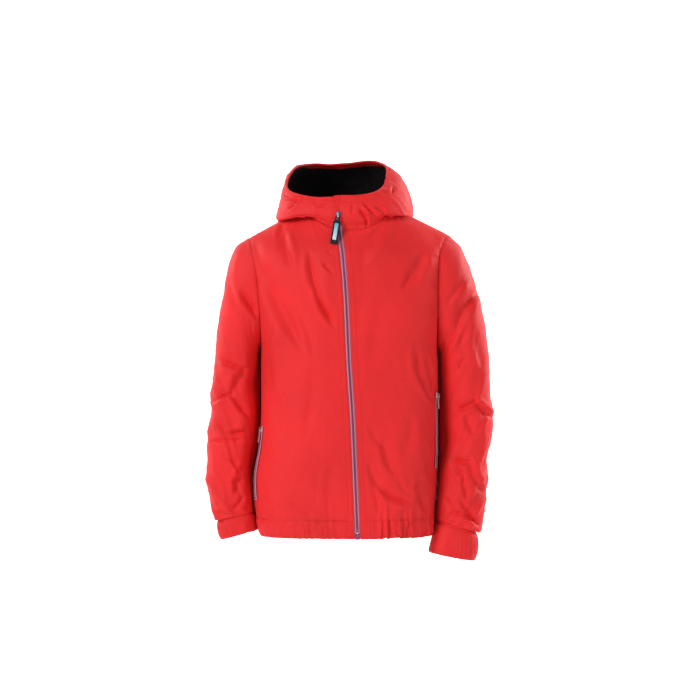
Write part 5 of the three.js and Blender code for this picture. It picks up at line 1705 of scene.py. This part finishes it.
def make_slider(name, size, frame_, paint="zip metal"):
    """A slider: a shouldered plate with rounded edges and the bridge that holds the pull."""
    half, low, high = size["width"] / 2, -size["length"] / 2, size["length"] / 2
    waist = low + size["length"] * 0.55
    corners = [
        (-half * 0.7, low), (half * 0.7, low), (half, waist), (half * 0.8, high),
        (-half * 0.8, high), (-half, waist),
    ]
    plate = size["plate"]
    profile = [(0.3, 0), (0, 0.3), (0, plate - 0.7), (0.25, plate - 0.2), (0.8, plate)]
    parts = [slab(f"{name}_plate", rounded_outline(corners, 1.2), profile, finish(paint))]
    reach = size["bridge_length"] / 2 - size["bridge_bar"] / 2
    tall = size["bridge_height"] - size["bridge_bar"] / 2
    turn = np.linspace(0, math.pi, 25)
    arch_z = -reach * np.sign(np.cos(turn)) * np.abs(np.cos(turn)) ** 0.6
    arch_y = plate + tall * np.abs(np.sin(turn)) ** 0.6 - 0.3
    path = points(0 * turn, arch_y, arch_z)
    ahead = unit(np.gradient(path, axis=0))
    across = np.array([1.0, 0.0, 0.0])
    out = np.cross(ahead, across)
    around = np.linspace(0, 2 * math.pi, 16, endpoint=False)
    squared = lambda a: np.sign(a) * np.abs(a) ** 0.5
    wide = squared(np.cos(around))[None, :, None] * size["bridge_width"] / 2 * across
    tall_ = squared(np.sin(around))[None, :, None] * size["bridge_bar"] / 2 * out[:, None]
    bridge = (path[:, None] + wide + tall_)[:, ::-1]
    parts.append(ring_stack(f"{name}_bridge", bridge, finish("zip metal")))
    obj = join(name, parts)
    move_mesh(obj, frame_)
    return obj


def pull_outline(size):
    """Outline of the tab below its eye: a narrower neck and a rounded long body."""
    neck, half = size["neck_width"] / 2, size["pull_width"] / 2
    top = size["eye_bar"] / 2
    shoulder = top - 2 * size["eye_bar"] - size["eye_length"]
    corner = size["pull_width"] * 0.18
    low = top - size["pull_length"]
    return [
        (-half, low), (half, low), (half, shoulder - corner), (neck, shoulder + corner * 0.6),
        (-neck, shoulder + corner * 0.6), (-half, shoulder - corner),
    ]


def make_pull(name, size, frame_, material, inset):
    """A pull tab: a rounded plate, the loop round its eye, and a shallow recess for the inset."""
    half = size["pull_thickness"] / 2
    steps = ((0.45, -1), (0.1, -0.75), (0, -0.3), (0, 0.3), (0.1, 0.75), (0.45, 1))
    rim = [(step_in, half * rise) for step_in, rise in steps]
    if inset:
        rim += [(1.7, half), (2.1, half - 0.35)]
    parts = [slab(f"{name}_body", rounded_outline(pull_outline(size), 1.8), rim, material)]
    bar = size["eye_bar"]
    wide, tall = size["eye_width"] / 2 + bar / 2, size["eye_length"] + 2 * bar
    loop = rounded_outline([(-wide, -tall), (wide, -tall), (wide, 0), (-wide, 0)], 1.1)
    path = points(loop[:, 0], 0, loop[:, 1])
    parts.append(tube(f"{name}_loop", path, bar / 2, np.array([0.0, 1.0, 0.0]), 10, material, closed=True))
    obj = join(name, parts)
    move_mesh(obj, frame_)
    return obj


def make_front_pull():
    """Front slider, and its black pull tab with a blank inset."""
    size = FRONT_SLIDER
    height = lambda up: np.array(float(SLIDER_Z + up))
    place = lambda across, up: front_point(zip_x(height(up)) + across, height(up))
    outward = unit(np.cross(place(2, 0) - place(-2, 0), place(0, 2) - place(0, -2)))
    lift = 2 - TAPE_DEPTH + 2 * SEAM_GAP + 0.5
    seat = place(0, 0) + outward * lift
    below = place(0, -size["length"] / 2) + outward * lift
    frame_, pull_frame = slider_frames(size, seat, below, outward)
    slider = make_slider("front_slider_metal", size, frame_, "zip coil")
    finish_piece(slider, nodes=["zip_slider"])
    pull = make_pull("front_pull_tab", size, pull_frame, finish("pull rubber"), True)
    finish_piece(pull, "zip_pull_tab", ["zip_pull"])
    half = size["pull_thickness"] / 2
    panel = rounded_outline([(-3.1, -41), (3.1, -41), (3.1, -12.5), (-3.1, -12.5)], 1.0)
    profile = [(0, half - 0.5), (0, half - 0.15), (0.25, half)]
    plate = slab("front_pull_inset", panel, profile, finish("pull inset"))
    move_mesh(plate, pull_frame)
    finish_piece(plate, "zip_pull_tab")


def pocket_point(sign, z, back):
    """A point of the front panel a given way behind or before the pocket's line."""
    depth = POCKET_FORWARD - back
    full = smooth_curve(BODY["z"], BODY["front"], z)
    square = smooth_curve(BODY["z"], BODY["square"], z)
    x = side_reach(sign + 0 * z, z) * (1 - (depth / full) ** square) ** (1 / square)
    return points(sign * x, -depth - SEAM_GAP / 2, z)


def make_pocket_zips():
    """Pocket zips: a tape between two welts, a closed coil, a slider and a metal pull."""
    pitch = bpy.context.scene.rain_jacket_zips.coil_pitch / MM
    for sign in (1, -1):
        side = SHOULDERS[sign]["side"]
        top, bottom = POCKETS[sign]
        z = np.linspace(bottom, top, 44)[:, None]
        back = np.linspace(-1, 1, 15)[None, :]
        grid = pocket_point(sign, z + 0 * back, 0 * z + back * POCKET_HALF)
        grid = grid if sign > 0 else grid[:, ::-1]
        welt = 1.3 * np.exp(-(((np.abs(back) - 0.8) / 0.16) ** 2))
        normals = grid_normals(grid)
        outer = grid + normals * (LAYER_GAP + POCKET_THICK + welt[..., None] * 0.9)
        tape = cloth_shell(f"pocket_zip_{side}_cloth", outer, POCKET_THICK, finish("zip tape"))
        finish_piece(tape, nodes=[f"pocket_zip_{side}"])
        place = lambda across, height: pocket_point(sign, height, across * sign)
        depth = LAYER_GAP + POCKET_THICK + 0.7
        chain = coil(f"pocket_coil_{side}", place, bottom + 1, top - 8, pitch, 1.0, depth, 0.34)
        finish_piece(chain)
        size = POCKET_SLIDER
        seat_z = np.array(top - size["length"] / 2)
        near = lambda across, up: pocket_point(sign, seat_z + up, across * sign)
        outward = unit(np.cross(near(2, 0) - near(-2, 0), near(0, 2) - near(0, -2)))
        lift = LAYER_GAP + POCKET_THICK + SEAM_GAP
        seat, below = near(0, 0) + outward * lift, near(0, -size["pull_length"]) + outward * lift
        frame_, pull_frame = slider_frames(size, seat, below, outward)
        slider = make_slider(f"pocket_{side}_slider_metal", size, frame_)
        finish_piece(slider, nodes=[f"pocket_{side}_slider"])
        pull = make_pull(f"pocket_{side}_pull_metal", size, pull_frame, finish("zip metal"), False)
        finish_piece(pull, f"pocket_{side}_pull_tab", [f"pocket_{side}_pull"])


def add_light(name, place, target, size, power, colour=(1, 1, 1)):
    """A square soft light aimed at a point."""
    light = bpy.data.lights.new(name, "AREA")
    light.size, light.energy, light.color = size, power, colour
    obj = bpy.data.objects.new(name, light)
    direction = np.array(target, float) - np.array(place, float)
    yaw = math.atan2(-direction[0], direction[1])
    pitch = math.atan2(direction[2], math.hypot(direction[0], direction[1]))
    obj.location, obj.rotation_euler = place, (pitch + math.pi / 2, 0, yaw)
    bpy.context.scene.collection.objects.link(obj)


def make_stage():
    """Camera level in front, pale floor that curves up behind, and soft studio lights."""
    stage = bpy.context.scene.rain_jacket_stage
    scene = bpy.context.scene
    camera = bpy.data.cameras.new("camera")
    camera.lens, camera.sensor_width = 119.6 * stage.camera_distance / 4.0, 36
    camera.clip_end = 50
    view = bpy.data.objects.new("camera", camera)
    view.location = (0.0017, -stage.camera_distance, stage.camera_height)
    view.rotation_euler = (math.pi / 2, 0, 0)
    scene.collection.objects.link(view)
    scene.camera = view
    scene.view_settings.view_transform = "Standard"
    floor_z, back_y, bend = -1100.0, 2600.0, 900.0
    turn = np.linspace(0, math.pi / 2, 24)
    y = np.concatenate([[-6000], back_y - bend + bend * np.sin(turn), [back_y]])
    z = np.concatenate([[floor_z], floor_z + bend - bend * np.cos(turn), [4500]])
    x = np.linspace(-6000, 6000, 3)
    grid = points(x[None, :], y[:, None], z[:, None])
    j, i = quad_corners(len(y), len(x), False)
    material, nodes, shader = new_material("pale floor", {
        "Base Color": (0.9, 0.9, 0.9, 1), "Roughness": 0.9, "Specular IOR Level": 0.1,
        "Emission Color": (1, 1, 1, 1),
    })
    seen = nodes.add("ShaderNodeLightPath").outputs["Is Camera Ray"]
    nodes.tree.links.new(nodes.math("MULTIPLY", seen, 0.75), shader.inputs["Emission Strength"])
    floor = new_object("floor", grid, (j * len(x) + i).tolist(), material)
    world = bpy.data.worlds.new("studio")
    world.use_nodes = True
    world.node_tree.nodes["Background"].inputs["Color"].default_value = (1, 1, 1, 1)
    world.node_tree.nodes["Background"].inputs["Strength"].default_value = 0.34
    scene.world = world
    add_light("key", (-2.4, -2.6, 1.5), (0, 0, -0.2), 1.1, stage.key_power)
    add_light("fill", (2.8, -2.8, 0.6), (0, 0, -0.25), 2.0, stage.fill_power)
    add_light("rim", (2.6, 1.4, 0.9), (0.1, 0, -0.2), 1.2, stage.rim_power)
    add_light("rim_left", (-2.6, 1.4, 0.9), (-0.1, 0, -0.2), 1.2, stage.rim_power * 0.5)


# Operators, one for each piece or group of like pieces


def operator(name, label, build):
    """An operator that runs one build function; its docstring is the function's."""

    def execute(self, context):
        build()
        return {"FINISHED"}

    members = {
        "__doc__": build.__doc__,
        "bl_idname": f"rain_jacket.{name}",
        "bl_label": label,
        "execute": execute,
    }
    return type(f"RAIN_JACKET_OT_{name}", (bpy.types.Operator,), members)


OPERATORS = [
    operator("stage", "Stage", make_stage),
    operator("fronts", "Fronts", make_fronts),
    operator("back", "Back", make_back),
    operator("hem", "Hem casing", make_hem),
    operator("sleeves", "Sleeves", make_sleeves),
    operator("cuffs", "Cuffs", make_cuffs),
    operator("hood", "Hood", make_hood),
    operator("hood_inside", "Hood lining and facing", make_hood_inside),
    operator("front_zip", "Front zip", make_front_zip),
    operator("front_pull", "Front slider and pull", make_front_pull),
    operator("pocket_zips", "Pocket zips", make_pocket_zips),
]


class RAIN_JACKET_PT_sidebar(bpy.types.Panel):
    """Settings and pieces of the rain jacket"""

    bl_label = "Rain jacket"
    bl_idname = "RAIN_JACKET_PT_sidebar"
    bl_space_type = "VIEW_3D"
    bl_region_type = "UI"
    bl_category = "Rain jacket"

    def draw(self, context):
        for name in ("cloth", "zips", "stage"):
            group = getattr(context.scene, f"rain_jacket_{name}")
            box = self.layout.box()
            box.label(text=name.capitalize())
            for key in group.__annotations__:
                box.prop(group, key)
        for entry in OPERATORS:
            self.layout.operator(entry.bl_idname)


GROUPS = {"cloth": RainJacketCloth, "zips": RainJacketZips, "stage": RainJacketStage}


def register():
    for name, group in GROUPS.items():
        bpy.utils.register_class(group)
        setattr(bpy.types.Scene, f"rain_jacket_{name}", bpy.props.PointerProperty(type=group))
    for entry in (*OPERATORS, RAIN_JACKET_PT_sidebar):
        bpy.utils.register_class(entry)


def unregister():
    for entry in (RAIN_JACKET_PT_sidebar, *reversed(OPERATORS)):
        bpy.utils.unregister_class(entry)
    for name, group in GROUPS.items():
        delattr(bpy.types.Scene, f"rain_jacket_{name}")
        bpy.utils.unregister_class(group)


def main():
    register()
    for entry in OPERATORS:
        group, name = entry.bl_idname.split(".")
        getattr(getattr(bpy.ops, group), name)()


if __name__ == "__main__":
    main()
